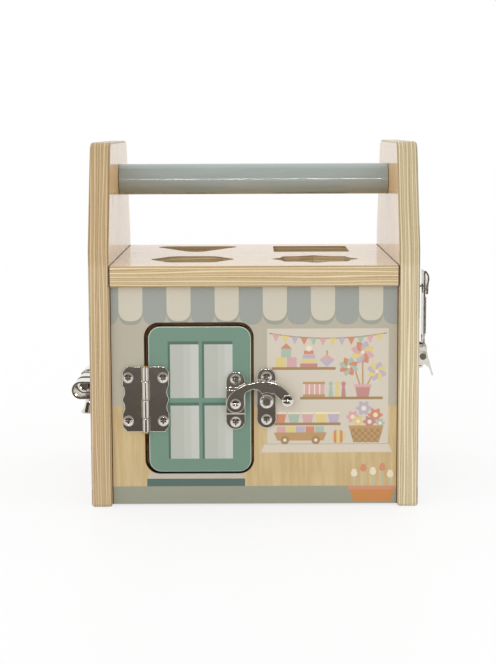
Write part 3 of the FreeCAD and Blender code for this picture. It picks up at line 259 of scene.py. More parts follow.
class Finish:
    """A node tree being filled in."""

    def __init__(self, owner):
        owner.use_nodes = True
        self.owner = owner
        self.tree = owner.node_tree
        self.tree.nodes.clear()

    def node(self, kind, settings=None, sockets=None, output=0):
        """Add a node: its type, its settings, then the values or links of its sockets."""
        made = self.tree.nodes.new("ShaderNode" + kind)
        for name, value in (settings or {}).items():
            if name == "stops":
                self.set_stops(made.color_ramp, value)
            elif name == "steps":
                made.color_ramp.interpolation = "CONSTANT"
            else:
                setattr(made, name, value)
        for name, value in (sockets or {}).items():
            if isinstance(value, Val):
                self.tree.links.new(value.socket, made.inputs[name])
            else:
                made.inputs[name].default_value = value
        return Val(self, made.outputs[output])

    @staticmethod
    def set_stops(ramp, stops):
        """Give a colour ramp its stops of (place, colour)."""
        while len(ramp.elements) < len(stops):
            ramp.elements.new(1.0)
        for element, (position, shade) in zip(ramp.elements, stops):
            element.position = position
            element.color = shade

    def math(self, operation, *terms):
        """A Math node on numbers and values."""
        return self.node("Math", {"operation": operation}, dict(enumerate(terms)))

    def mix(self, share_of_over, under, over):
        """One colour over another."""
        under, over = [tone if isinstance(tone, Val) else linear(tone) for tone in (under, over)]
        return self.node("Mix", {"data_type": "RGBA"}, {0: share_of_over, 6: under, 7: over},
                         output=2)

    def darken(self, tone, grey):
        """A colour times a grey value."""
        return self.node("VectorMath", {"operation": "SCALE"}, {0: tone, "Scale": grey})

    def tint(self, tone, cast):
        """A colour times another."""
        return self.node("VectorMath", {"operation": "MULTIPLY"}, {0: tone, 1: cast})

    def place(self):
        """Position on the piece at rest, in millimetres."""
        metres = self.node("TexCoord", output="Object")
        self.point = self.node("VectorMath", {"operation": "SCALE"}, {0: metres, "Scale": MM})
        return self.parts(self.point)

    def parts(self, vector):
        """X, Y and Z of a vector."""
        split = self.node("SeparateXYZ", None, {0: vector}).socket.node
        return [Val(self, output) for output in split.outputs]

    def noise(self, scale, detail=2.0, roughness=0.5, distortion=0.0):
        """Soft noise.  The scale is per millimetre, one number or one for each axis."""
        scale = (scale, scale, scale) if isinstance(scale, float) else scale
        spot = self.node("VectorMath", {"operation": "MULTIPLY"}, {0: self.point, 1: scale})
        return self.node("TexNoise", None, {"Vector": spot, "Scale": 1.0, "Detail": detail,
                                            "Roughness": roughness, "Distortion": distortion})

    def chance(self, number):
        """A random value for each whole number."""
        return self.node("TexWhiteNoise", {"noise_dimensions": "1D"}, {"W": number})

    def bump(self, height, distance, strength, normal=None):
        """A normal from heights; the distance is in millimetres."""
        sockets = {"Height": height, "Distance": distance / MM, "Strength": strength}
        if normal is not None:
            sockets["Normal"] = normal
        return self.node("Bump", None, sockets)

    def path(self, *kinds):
        """1 for light paths of these kinds."""
        outputs = self.node("LightPath").socket.node.outputs
        seen = Val(self, outputs[f"Is {kinds[0]} Ray"])
        for kind in kinds[1:]:
            seen = seen.either(Val(self, outputs[f"Is {kind} Ray"]))
        return seen

    def principled(self, **sockets):
        """A Principled shader; an underscore stands for the space in a socket's name."""
        named = {name.replace("_", " "): value for name, value in sockets.items()}
        return self.node("BsdfPrincipled", None, named)

    def surface(self, **sockets):
        """End the material in a Principled shader with these sockets."""
        self.end(self.principled(**sockets))

    def end(self, shader, output="OutputMaterial"):
        """Lead a shader to the output."""
        made = self.tree.nodes.new("ShaderNode" + output)
        self.tree.links.new(shader.socket, made.inputs["Surface"])


def new_finish(name):
    """An empty finish with a material of its own."""
    material = bpy.data.materials.get(name) or bpy.data.materials.new(name)
    return Finish(material)


def dress(finish, *names):
    """Give CAD pieces a finish."""
    for name in names:
        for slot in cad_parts[name].material_slots:
            slot.material = finish.owner


# ------------------------------------------------------------------- wood

def scales(axis, along, beside):
    """Noise scales that differ along one axis."""
    return [along if number == axis else beside for number in range(3)]


def veneer(finish, wood, grain):
    """Face veneer with its grain and pores along one axis.

    Gives its colour and the height of its grain.
    """
    figure = finish.noise(scales(grain, 0.006, 0.09), 3, 0.6, 1.2)
    fibre = finish.noise(scales(grain, 0.03, 0.9), 4, 0.65)
    pores = finish.noise(scales(grain, 0.12, 2.4), 1).ease(0.62, 0.72)
    tone = (figure * 0.6 + fibre * 0.55 - 0.12).ease(0.15, 0.85)
    tone = finish.mix(tone, wood.veneer_warm, wood.veneer_pale)
    return finish.darken(tone, 1.0 - pores * 0.13), fibre - pores * 0.3


def plies(finish, wood, depth, through):
    """Sawn edge of plywood, from the depth behind its first face.

    Gives its colour and the height of its streaks.
    """
    streak = finish.noise(scales(through, 2.2, 0.016), 3, 0.6)
    fibre = finish.noise(scales(through, 7.0, 0.3), 2, 0.6)
    warp = finish.noise(scales(through, 0.3, 0.01), 1)
    level = depth * PLY_PAIRS + (warp - 0.5) * 1.5
    pair = level.floor()
    tan, dull, pale = wood.ply_dark, toned(wood.ply_dark, 0.95), wood.ply_pale
    half = [(low + high) / 2 for low, high in zip(tan, pale)]
    tone = (level - pair).ramp((0.0, half), (0.1, tan), (0.2, dull), (0.32, tan), (0.42, pale),
                               (0.57, pale), (0.66, tan), (0.8, dull), (0.9, tan), (1.0, half))
    shade = 0.94 + finish.chance(pair + 7.0) * 0.1 + (fibre - 0.5) * 0.2 + (streak - 0.5) * 0.45
    tone = finish.darken(tone, shade)
    specks = finish.noise(1.9, 2, 0.7).ease(0.5, 0.62)
    seam = (abs(level - pair - 0.5) - 0.3).near(0.0, 0.045) * (finish.chance(pair + 3.0) > 0.5)
    return finish.mix(seam * specks * 0.8, tone, wood.glue), streak


def bare_wood(finish, wood, depth, thickness, through, grain):
    """Bare board, from the depth behind its first face.

    Gives its colour, the height of its grain and the mask of its sawn edges.
    """
    edge, streak = plies(finish, wood, depth, through)
    face, fibre = veneer(finish, wood, grain)
    half = thickness / 2
    off = abs(depth - half)
    # Darker band along the arrises: painted shade where the sawn edge rounds over to a face.
    arris_shade = off.within(half - 0.9, half - 0.06)
    sawn = off < half - 0.25
    tone = finish.darken(finish.mix(sawn, face, edge), 1.0 - arris_shade * 0.2)
    return tone, streak * 0.5 + fibre * 0.5, sawn.either(arris_shade)


def clear_coat(finish, wood, height, tone, rough, coat):
    """End a board finish in clear varnish, which lies a little wavy over the grain."""
    waves = finish.noise(scales(Z, 0.03, 0.07), 3, 0.55)
    marks = finish.noise(scales(Z, 0.05, 0.25), 4, 0.65, 0.8).ease(0.56, 0.68)
    finish.surface(Base_Color=tone, Roughness=rough, Specular_IOR_Level=0.15,
                   Coat_Weight=coat * (1.0 - marks * 0.4), Coat_Roughness=wood.varnish_gloss,
                   Normal=finish.bump(height * 0.05 + waves, 0.10, 0.3))


def varnished(finish, wood, tone, height, sawn, joint=None):
    """End a finish of bare varnished wood.  A seam gets painted shade and no varnish."""
    smudge = finish.noise(0.05, 3, 0.6)
    coat = (wood.varnish + smudge * 0.06) * (1.0 - sawn * 0.7)
    if joint is not None:
        tone = finish.mix(joint, tone, wood.joint)
        coat = coat * (1.0 - joint)
    clear_coat(finish, wood, height, tone, 0.42 + smudge * 0.16, coat)


# ------------------------------------------------------------------ prints

class Picture:
    """A flat print on one board, laid colour over colour."""

    def __init__(self, finish, across, up, ground):
        self.finish = finish
        self.across = across
        self.up = up
        self.tone = ground
        self.spot = finish.node("CombineXYZ", None, {"X": across, "Y": up})

    def lay(self, mask, tone):
        """Lay a colour where the mask is 1."""
        self.tone = self.finish.mix(mask, self.tone, tone)

    def block(self, left, right, low, high):
        """Mask of an upright rectangle."""
        return self.across.within(left, right) * self.up.within(low, high)

    def disc(self, x, z, radius):
        """Mask of a disc."""
        away = self.finish.node("VectorMath", {"operation": "DISTANCE"},
                                {0: self.spot, 1: (x, z, 0.0)}, output="Value")
        return away < radius

    def outside(self, left, right, low, high, corner):
        """How far a point lies outside an upright rectangle with round corners."""
        beside = abs(self.across - (left + right) / 2) - ((right - left) / 2 - corner)
        above = abs(self.up - (low + high) / 2) - ((high - low) / 2 - corner)
        beside, above = beside.either(0.0), above.either(0.0)
        return self.finish.math("SQRT", beside * beside + above * above) - corner

    def seen_from(self, x, z):
        """How far a point lies from a middle, and in which direction."""
        east, north = self.across - x, self.up - z
        return (self.finish.math("SQRT", east * east + north * north),
                self.finish.math("ARCTAN2", north, east))

    def petals(self, x, z, radius):
        """Mask of a flower with six petals."""
        away, turn = self.seen_from(x, z)
        return away < radius * (0.84 + self.finish.math("COSINE", turn * 6) * 0.16)

    def pinwheel(self, x, z, radius, shades):
        """Pinwheel with eight curved sails."""
        away, turn = self.seen_from(x, z)
        sail = (turn * (4 / math.pi) + away * (1.4 / radius) + 16.0) % 8
        number = sail.floor()
        self.lay(away < radius * (0.72 + (sail - number) * 0.28),
                 (number % len(shades)).pick(shades))
        self.lay(away < radius * 0.16, CREAM)

    def taper(self, x, low, high, foot, head):
        """Mask of an upright piece that narrows or widens from its foot to its head."""
        half = foot + (self.up - low) * ((head - foot) / (high - low))
        return (abs(self.across - x) < half) * self.up.within(low, high)


def awning(picture, first, pitch, round_part, bottom, rim, shades):
    """Striped awning with scallops.

    The stripes start at the first edge.  Pale scallops end at the bottom, and
    their shadow rim and the dark ones at the rim.
    """
    dark, pale, rim_shade = shades
    stripe = (picture.across - first) / pitch
    number = stripe.floor()
    inside = abs(stripe - number - 0.5) * 2
    is_pale = number % 2

    def scallop(end):
        drop = (end + round_part - picture.up) / round_part
        return (inside ** 2.6 + drop.either(0.0) ** 2.2) < 1.0

    picture.lay(scallop(rim), picture.finish.mix(is_pale, dark, rim_shade))
    picture.lay(scallop(bottom) * is_pale, pale)


def planks(picture, shop, below):
    """Printed plank wall with upright grain."""
    finish = picture.finish
    grain = finish.noise(scales(Z, 0.03, 0.35), 3, 0.55, 0.4)
    picture.lay(picture.up < below, finish.mix(grain.ease(0.3, 0.7), shop.plank_grain, shop.plank))


PINK = paint(208, 166, 164)
ROSE = paint(190, 138, 132)
YELLOW = paint(215, 196, 132)
LILAC = paint(184, 173, 186)
CORAL = paint(203, 141, 113)
TERRACOTTA = paint(196, 134, 78)
MINT = paint(169, 184, 168)
LEAF = toned(MINT, 1.08)
TAN = paint(186, 150, 105)
CREAM = paint(226, 214, 190)


def shop_window(picture, shop):
    """Shop window with shelves of toys and a basket of flowers."""
    lay, block, disc, taper = picture.lay, picture.block, picture.disc, picture.taper
    lay(block(7.4, 77.6, 36.1, 104.3), shop.window)
    lay(block(6.3, 78.8, 35.2, 36.8), shop.wall)
    lay(taper(41.85, 31.6, 36.35, 38.1, 36.4), shop.sill)

    # bunting under the window head
    sag = 101.6 - (1 - ((picture.across - 42.5) / 34) ** 2) * 3.0
    lay((picture.up - sag).within(-0.3, 0.3) * picture.across.within(8.6, 76.6), shop.shelf)
    flag = (picture.across - 9.7) / 5.45
    number = flag.floor()
    beside = abs(flag - number - 0.5)
    hang = sag - picture.up
    lay((beside < 0.4 - hang * 0.09) * (hang > 0) * picture.across.within(9.7, 75.0),
        (number % 5).pick((PINK, YELLOW, LILAC, CORAL, MINT)))

    # shelves
    lay(block(10.2, 47.0, 80.2, 81.8), shop.shelf)
    lay(block(26.5, 74.4, 62.8, 64.4), shop.shelf)
    lay(block(10.2, 50.0, 47.6, 49.2), shop.shelf)

    # top shelf: building blocks with a roof, a tower of rings, a spinning top
    lay(block(12.5, 18.2, 81.8, 87.5), YELLOW)
    lay(block(18.8, 24.5, 81.8, 87.5), PINK)
    lay(block(15.6, 21.3, 87.5, 92.6), MINT)
    lay(taper(18.45, 92.6, 95.8, 3.4, 0.0), CORAL)
    for low, half, shade in ((81.8, 5.0, ROSE), (84.3, 4.3, YELLOW), (86.8, 3.6, LILAC),
                             (89.3, 2.8, CORAL)):
        lay(block(31.5 - half, 31.5 + half, low, low + 2.2), shade)
    lay(disc(31.5, 92.7, 1.7), CREAM)
    lay(taper(42.0, 81.8, 86.2, 0.0, 4.4), LILAC)
    lay(taper(42.0, 86.2, 88.8, 4.4, 0.6), PINK)
    lay(block(41.6, 42.4, 88.8, 91.6), TAN)

    # pinwheels in a pot on the middle shelf
    for x, top in ((57.4, 82.5), (62.6, 90.5), (69.6, 80.0)):
        lean = x + (62.8 - x) * ((top - picture.up) / (top - 66.0))
        lay((abs(picture.across - lean) < 0.45) * picture.up.within(66.0, top), TAN)
    picture.pinwheel(62.6, 90.3, 7.0, (PINK, YELLOW, LILAC, CORAL))
    picture.pinwheel(54.6, 82.0, 5.8, (MINT, CORAL))
    picture.pinwheel(70.9, 79.2, 6.0, (LILAC, YELLOW))
    lay(taper(62.8, 64.4, 71.6, 3.4, 4.6), ROSE)
    lay(block(57.8, 67.8, 69.9, 71.6), PINK)

    # middle shelf: drum and skittles
    lay(block(28.5, 40.5, 64.4, 73.2), PINK)
    lay(block(28.5, 40.5, 65.8, 71.8) * ((picture.across - 28.5) % 3.0 < 0.7), CREAM)
    lay(block(28.1, 40.9, 64.4, 65.8).either(block(28.1, 40.9, 71.8, 73.2)), TAN)
    skittle = (picture.across - 42.4) / 3.7
    number = skittle.floor()
    middle = abs(skittle - number - 0.5) * 3.7
    body = (middle < 1.4 - (picture.up - 64.4) * 0.1) * picture.up.within(64.4, 71.0)
    head = (middle ** 2 + (picture.up - 72.0) ** 2) < 1.8
    lay(body.either(head) * picture.across.within(42.4, 53.5), number.pick((MINT, YELLOW, ROSE)))

    # low shelf: row of stacked cups
    for x, shade in ((15.0, CORAL), (22.9, MINT), (30.8, PINK), (38.7, YELLOW), (46.0, LILAC)):
        lay(taper(x, 49.2, 55.0, 2.4, 3.6), shade)
        lay(block(x - 3.6, x + 3.6, 54.2, 55.4), CREAM)

    # floor of the window: cart with blocks on the left, basket of flowers on the right
    crate = (picture.across - 12.6) / 5.6
    number = crate.floor()
    lay(picture.across.within(12.6, 40.6) * picture.up.within(42.4, 46.9)
        * (abs(crate - number - 0.5) < 0.46), number.pick((PINK, YELLOW, LILAC, CORAL, MINT)))
    lay(taper(26.6, 38.6, 43.4, 13.4, 15.4), TAN)
    for x in (17.6, 35.6):
        lay(disc(x, 38.9, 2.5), shop.shelf)
        lay(disc(x, 38.9, 1.0), CREAM)
    lay(disc(48.6, 40.9, 4.1), YELLOW)
    lay(disc(48.6, 40.9, 4.1) * abs(picture.across - 48.6).within(1.0, 2.6), CORAL)
    for x, z, radius, shade in (
            (57.0, 52.5, 3.9, PINK), (63.4, 57.6, 4.6, LILAC), (70.2, 53.6, 4.3, CORAL),
            (60.2, 49.8, 3.6, YELLOW), (66.8, 49.6, 3.8, ROSE), (72.9, 48.8, 2.9, MINT)):
        lay(picture.petals(x, z, radius), shade)
        lay(disc(x, z, radius * 0.32), CREAM)
    lay(taper(64.8, 37.4, 47.4, 7.4, 10.2), TAN)
    weave = ((picture.across * 0.55).floor() + (picture.up * 0.55).floor()) % 2
    lay(taper(64.8, 37.4, 45.6, 7.4, 9.7) * weave, shop.shelf)


def flower_box(picture):
    """Planter with tulips at the right of the base band."""
    lay, block, disc, taper = picture.lay, picture.block, picture.disc, picture.taper
    for x, top, shade in ((58.0, 19.0, CREAM), (63.4, 22.0, CORAL), (69.0, 20.0, CREAM),
                          (74.4, 22.4, CORAL), (79.0, 18.4, CREAM)):
        lay(block(x - 0.35, x + 0.35, 9.0, top), MINT)
        lay(disc(x, top, 1.9), shade)
        lay(taper(x, top, top + 2.6, 1.9, 1.1), shade)
    lay(taper(68.5, 2.4, 11.2, 11.0, 13.6), TERRACOTTA)
    lay(block(54.4, 82.6, 9.4, 11.6), CORAL)


def front_picture(finish, shop, x, z):
    """Shop front of the front board."""
    picture = Picture(finish, x, z, shop.wall)
    lay, block = picture.lay, picture.block
    planks(picture, shop, 59.1)
    lay(z < 11.7, shop.base)
    lay(picture.taper(-34.2, 16.2, 19.9, 28.4, 27.0), shop.doorstep)
    lay(block(-62.8, -5.6, 11.7, 16.2), shop.step)
    awning(picture, first=-91.95, pitch=shop.stripe * MM, round_part=7.0, bottom=108.9,
           rim=106.6, shades=(shop.awning, shop.awning_pale, shop.scallop_rim))
    shop_window(picture, shop)
    flower_box(picture)
    return picture


def panes(picture, door, left, right, lows, highs):
    """Two by two panes with a shaded reveal at their top and left and a pale right part."""
    for pane_left, pane_right in zip(left, right):
        for low, high in zip(lows, highs):
            picture.lay(picture.block(pane_left - 1.3, pane_right, low, high + 1.8), door.shade)
            picture.lay(picture.block(pane_left, pane_right, low, high), door.pane)
    split = (picture.across - left[0]) % (left[1] - left[0])
    width = right[0] - left[0]
    glass = (split.within(width * 0.47, width) * picture.across.within(left[0], right[1])
             * picture.up.within(lows[0], highs[0]).either(picture.up.within(lows[1], highs[1])))
    picture.lay(glass * 0.45, door.pane_pale)
    picture.lay(glass * (split > width * 0.72), door.pane_pale)


def printed(finish, picture, wood, on_print, tone, height, sawn, handle_reflection=0.0):
    """End a finish that is print on one face and bare wood elsewhere.

    The varnish is thin on the print and on sawn edges, and it is thinned in a
    band as a painted reflection of the handle.
    """
    mottle = finish.noise(0.8, 3, 0.6)
    fade = finish.noise(0.012, 1)
    ink = finish.darken(picture.tone, 0.955 + mottle * 0.05 + fade * 0.045)
    smudge = finish.noise(0.05, 3, 0.6)
    thin = sawn.either(on_print).either(handle_reflection)
    clear_coat(finish, wood, height, finish.mix(on_print, tone, ink), 0.38 + smudge * 0.14,
               wood.varnish * (1.0 - thin * 0.55))


# --------------------------------------------------------------- operators

class PieceOperator:
    """Common ground of the operators that finish the pieces."""
    bl_options = {"REGISTER", "UNDO"}

    def execute(self, context):
        """Give the pieces their finish."""
        self.finish(context.scene.activity_cube)
        return {"FINISHED"}


def side_wall(finish, settings, side, base):
    """Printed outer face of a side board, with little trees beside its door.

    The side is -1 for the left board and 1 for the right one, and the base is
    the height of the band at its foot.
    """
    x, y, z = finish.place()
    door, shop = settings.door, settings.shop
    wall, trim = (door.rose_wall, door.rose_deep) if side < 0 else (door.cream_wall, door.lilac)
    picture = Picture(finish, y, z, wall)
    lay, taper = picture.lay, picture.taper
    lay((z < 34.0) * (y % 9.0 < 0.6) * 0.6, trim)
    lay(z.within(34.0, 36.5), trim)
    lay(z < base, trim)
    for place in (-63.5, 57.0):
        lay(picture.block(place - 0.8, place + 0.8, 24.0, 78.0), TAN)
        for rise, radius in ((44.0, 10.5), (62.5, 8.0), (76.5, 5.5)):
            lay(picture.disc(place, rise, radius), MINT)
            lay(picture.disc(place - radius * 0.25, rise + radius * 0.3, radius * 0.5), LEAF)
        lay(taper(place, base, 23.0, 6.0, 8.4), shop.shelf)
        lay(taper(place, 23.0, 26.0, 9.4, 9.4), TAN)
    dark = trim if side < 0 else shop.awning
    awning(picture, first=-82.5 - side * 5.5, pitch=11.0, round_part=6.0, bottom=112.0,
           rim=110.0, shades=(dark, shop.awning_pale, shop.scallop_rim))
    return (x, y, z), picture


class SideBoards(PieceOperator, bpy.types.Operator):
    """Printed plywood sides with their sawn edges"""
    bl_idname = "activity_cube.side_boards"
    bl_label = "Side boards"

    def finish(self, settings):
        wood = settings.wood
        for side, node, base, cast in ((-1, "side_board_left", 10.5, wood.painted_shade_left),
                                       (1, "side_board_right", 11.5, wood.painted_light_right)):
            finish = new_finish(node + "_finish")
            (x, y, z), picture = side_wall(finish, settings, side, base)
            depth = abs(x) - SIDE_INNER
            on_print = depth > THICK - 0.6
            if side < 0:
                on_print = on_print * (z < 141.0)
            else:
                picture.lay(z.within(199.5, 208.0), settings.shop.awning)
            picture.tone = finish.darken(picture.tone, 1.0 - (depth < THICK - 0.03) * 0.22)
            tone, height, sawn = bare_wood(finish, wood, depth, THICK, through=X, grain=Z)
            # Painted shade on the left board's sawn edges, painted light on the right board's.
            tone = finish.mix(sawn, tone, finish.tint(tone, cast))
            # Painted shade on the sawn edges above the shoulder.
            beside_handle = z.ease(139.0, 144.0) * sawn
            tone = finish.mix(beside_handle, tone, finish.tint(tone, wood.painted_shade_upper))
            doorway = picture.block(*SIDE_DOORWAY)
            # Cut edges of the doorway: laser burn and painted shade of the gap.
            tone = finish.mix(doorway * sawn * 0.97, tone, wood.burnt_and_gap_shade)
            # Painted reflection of the handle on the inner face: the varnish is thinned along the
            # handle's mirror image.
            behind_handle = abs(z + y * 0.033 - HANDLE_HEIGHT)
            handle_reflection = (1.0 - behind_handle.ease(7.2, 9.2)) * 1.75
            printed(finish, picture, wood, on_print, tone, height, sawn, handle_reflection)
            dress(finish, node)


class SideDoors(PieceOperator, bpy.types.Operator):
    """Printed doors of the two side walls"""
    bl_idname = "activity_cube.side_doors"
    bl_label = "Side doors"

    def finish(self, settings):
        wood = settings.wood
        door = settings.door
        for node, shade in (("left_door", door.rose_deep), ("right_door", door.lilac)):
            finish = new_finish(node + "_finish")
            x, y, z = finish.place()
            picture = Picture(finish, y, z, shade)
            panes(picture, door, left=(-33.0, -5.5), right=(-9.0, 18.5),
                  lows=(67.0, 31.0), highs=(96.0, 60.0))
            depth = abs(x) - SIDE_INNER
            tone, height, sawn = bare_wood(finish, wood, depth, THICK, through=X, grain=Z)
            # Cut edges of the door: laser burn and painted shade of the gap.
            tone = finish.mix(sawn * 0.97, tone, wood.burnt_and_gap_shade)
            # Painted highlight along the rounded rim of the door.
            picture.lay(depth < THICK - 0.09, door.rim)
            printed(finish, picture, wood, depth > THICK - 0.55, tone, height, sawn)
            dress(finish, node)


class TopBoard(PieceOperator, bpy.types.Operator):
    """Varnished top board with the shape holes"""
    bl_idname = "activity_cube.top_board"
    bl_label = "Top board"

    def finish(self, settings):
        wood = settings.wood
        finish = new_finish("top_board_finish")
        x, y, z = finish.place()
        tone, height, sawn = bare_wood(finish, wood, z - TOP_UNDER, THICK, through=Z, grain=X)
        # Painted shade along the seams over the side boards.
        varnished(finish, wood, tone, height, sawn, joint=abs(x) > SIDE_INNER - 0.5)
        dress(finish, "top_board")


class FrontBoard(PieceOperator, bpy.types.Operator):
    """Front board with the printed shop front"""
    bl_idname = "activity_cube.front_board"
    bl_label = "Front board"

    def finish(self, settings):
        wood = settings.wood
        finish = new_finish("front_board_finish")
        x, y, z = finish.place()
        picture = front_picture(finish, settings.shop, x, z)
        # Painted shade along the seams with the side boards and under the top board.
        seam_shades = (abs(x) > SIDE_INNER - 0.45).either(z > TOP_UNDER - 0.4)
        picture.lay(seam_shades, wood.joint)
        # Dark band round the doorway on the printed face: laser burn and painted shade of the gap.
        picture.lay(picture.outside(-63.3, -0.7, 19.6, 107.7, corner=8.2) < 0.4, wood.burnt_and_gap_shade)
        depth = y + FRONT_FACE
        tone, height, sawn = bare_wood(finish, wood, depth, THIN, through=Y, grain=X)
        doorway = picture.block(*FRONT_DOORWAY)
        # Cut edges of the doorway: laser burn and painted shade of the gap.
        tone = finish.mix(doorway * sawn * 0.97, tone, wood.burnt_and_gap_shade)
        printed(finish, picture, wood, depth < 0.3, tone, height, sawn)
        dress(finish, "front_board")


class PlainBoards(PieceOperator, bpy.types.Operator):
    """Back and bottom boards and the dowels"""
    bl_idname = "activity_cube.plain_boards"
    bl_label = "Back, bottom and dowels"

    def finish(self, settings):
        wood = settings.wood
        for node, through, face in (("back_board", Y, BACK_INNER), ("bottom_board", Z, 0.0)):
            finish = new_finish(node + "_finish")
            depth = finish.place()[through] - face
            tone, height, sawn = bare_wood(finish, wood, depth, THIN, through, grain=X)
            varnished(finish, wood, tone, height, sawn)
            dress(finish, node)
        finish = new_finish("dowel_finish")
        finish.place()
        tone, fibre = veneer(finish, wood, grain=X)
        finish.surface(Base_Color=tone, Roughness=0.6 + fibre * 0.1,
                       Normal=finish.bump(fibre, 0.1, 0.5))
        dress(finish, "top_dowels", "front_dowels", "back_dowels", "bottom_dowels")


class FrontDoor(PieceOperator, bpy.types.Operator):
    """Painted front door with four panes"""
    bl_idname = "activity_cube.front_door"
    bl_label = "Front door"

    def finish(self, settings):
        wood = settings.wood
        door = settings.door
        finish = new_finish("front_door_finish")
        x, y, z = finish.place()
        picture = Picture(finish, x, z, door.green)
        panes(picture, door, left=(-48.75, -29.0), right=(-32.2, -12.6),
              lows=(63.9, 28.1), highs=(95.3, 59.45))
        depth = y + FRONT_FACE
        tone, height, sawn = bare_wood(finish, wood, depth, THIN, through=Y, grain=X)
        # Cut edges of the door: laser burn and painted shade of the gap.
        tone = finish.mix(sawn * 0.97, tone, wood.burnt_and_gap_shade)
        # Painted highlight along the rounded rim of the door.
        picture.lay(depth > 0.08, door.rim)
        printed(finish, picture, wood, depth < 0.55, tone, height, sawn)
        dress(finish, "front_door")


class CarryHandle(PieceOperator, bpy.types.Operator):
    """Painted carrying handle"""
    bl_idname = "activity_cube.carry_handle"
    bl_label = "Carrying handle"

    def finish(self, settings):
        handle = settings.metal.handle
        finish = new_finish("handle_paint")
        x = finish.place()[X]
        dust = finish.noise(scales(X, 0.03, 0.2), 3, 0.6)
        brushed = 0.12 + x.ease(-25.0, 40.0) * 0.88
        brush = finish.noise(scales(X, 0.14, 0.3), 2, 0.5) * brushed
        tone = finish.mix(dust.ease(0.3, 0.75), handle, toned(handle, 1.03))
        # Painted shade where the handle meets the side boards.
        tone = finish.mix(abs(x) > SIDE_INNER - 0.4, tone, settings.wood.joint)
        finish.surface(Base_Color=tone, Roughness=0.3 + dust * 0.1, Coat_Weight=0.7,
                       Coat_Roughness=0.04, Normal=finish.bump(brush, 0.25, 0.3))
        dress(finish, "carry_handle")


class Fittings(PieceOperator, bpy.types.Operator):
    """Nickel plated hinges, latches, bolt and screws"""
    bl_idname = "activity_cube.fittings"
    bl_label = "Metal fittings"

    def finish(self, settings):
        metal = settings.metal
        side_words = ("bolt_", "keeper", "latch_", "draw_plate", "strike")
        pins = {"front_hinge_pin", "left_hinge_pin", "right_hinge_pin"}
        pivots = {"latch_rivets", "latch_link_pins"}
        metals = self.named("hinge_", "hook_", "catch_", *side_words) - pins - pivots
        at_sides = self.named("left_", "right_", *side_words)
        heads = (metals & self.named("screws")) | {"hook_rivet", "hook_knob", "catch_button"}
        plates = metals - heads
        self.nickel("nickel_front_plates", metal, plates - at_sides, 0.75, 1.0)
        self.nickel("nickel_side_fittings", metal, plates & at_sides, 0.2, 0.4)
        self.nickel("nickel_front_heads", metal, heads - at_sides, 0.2, 0.4, facing=Y)
        self.nickel("nickel_side_heads", metal, heads & at_sides, 0.2, 0.4, facing=X)
        self.plain_metal("brass", metal.brass, 0.16, pins)
        self.plain_metal("dark_steel", metal.pivot, 0.24, pivots)

    @staticmethod
    def named(*words):
        """CAD pieces whose name has one of the words."""
        return {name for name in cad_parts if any(word in name for word in words)}

    @staticmethod
    def nickel(title, metal, names, rounding, brightness, facing=None):
        """Polished plating with painted shade in its corners and painted highlights along its
        edges.

        The rounding of the edges is in millimetres.  Heads get a painted
        highlight ring round the axis that they face.
        """
        finish = new_finish(title)
        finish.place()
        smear = finish.noise(0.12, 4, 0.6, 0.6)
        wave = finish.noise(0.22, 2, 0.5)
        rounded = finish.node("Bevel", {"samples": 8}, {"Radius": rounding / MM})
        flat = finish.node("NewGeometry", output="Normal")
        same = finish.node("VectorMath", {"operation": "DOT_PRODUCT"}, {0: rounded, 1: flat},
                           output="Value")
        # Painted highlight where the rounded edge bends away from the flat face.
        bright = (1.0 - same).ease(0.02, 0.2) * brightness
        # Painted shade in corners and hollows, from ambient occlusion.
        open_air = finish.node("AmbientOcclusion", {"samples": 4}, {"Distance": 1.0 / MM},
                               output="AO")
        plating = finish.mix(smear, metal.nickel, toned(metal.nickel, 0.96))
        plating = finish.mix(open_air.ease(0.15, 0.75), metal.painted_corner_shade, plating)
        if facing is not None:
            outward = finish.parts(finish.node("TexCoord", output="Normal"))[facing]
            # Painted highlight ring on the sloping rim of a head.
            ring_highlight = (1.0 - abs(outward)).ease(0.13, 0.21) * open_air.ease(0.3, 0.7)
            bright = bright.either(ring_highlight * 0.45)
        plating = finish.mix(bright, plating, metal.painted_highlight)
        finish.surface(Base_Color=plating, Metallic=1.0 - bright * 0.7,
                       Roughness=metal.nickel_roughness - 0.05 + smear * 0.1 + bright * 0.3,
                       Normal=finish.bump(wave, 0.12, 0.5, rounded))
        dress(finish, *names)

    @staticmethod
    def plain_metal(title, shade, rough, names):
        """Smeared metal of one colour."""
        finish = new_finish(title)
        finish.place()
        smear = finish.noise(0.4, 3, 0.6)
        finish.surface(Base_Color=finish.mix(smear, shade, toned(shade, 0.9)),
                       Metallic=1.0, Roughness=rough + smear * 0.15)
        dress(finish, *names)


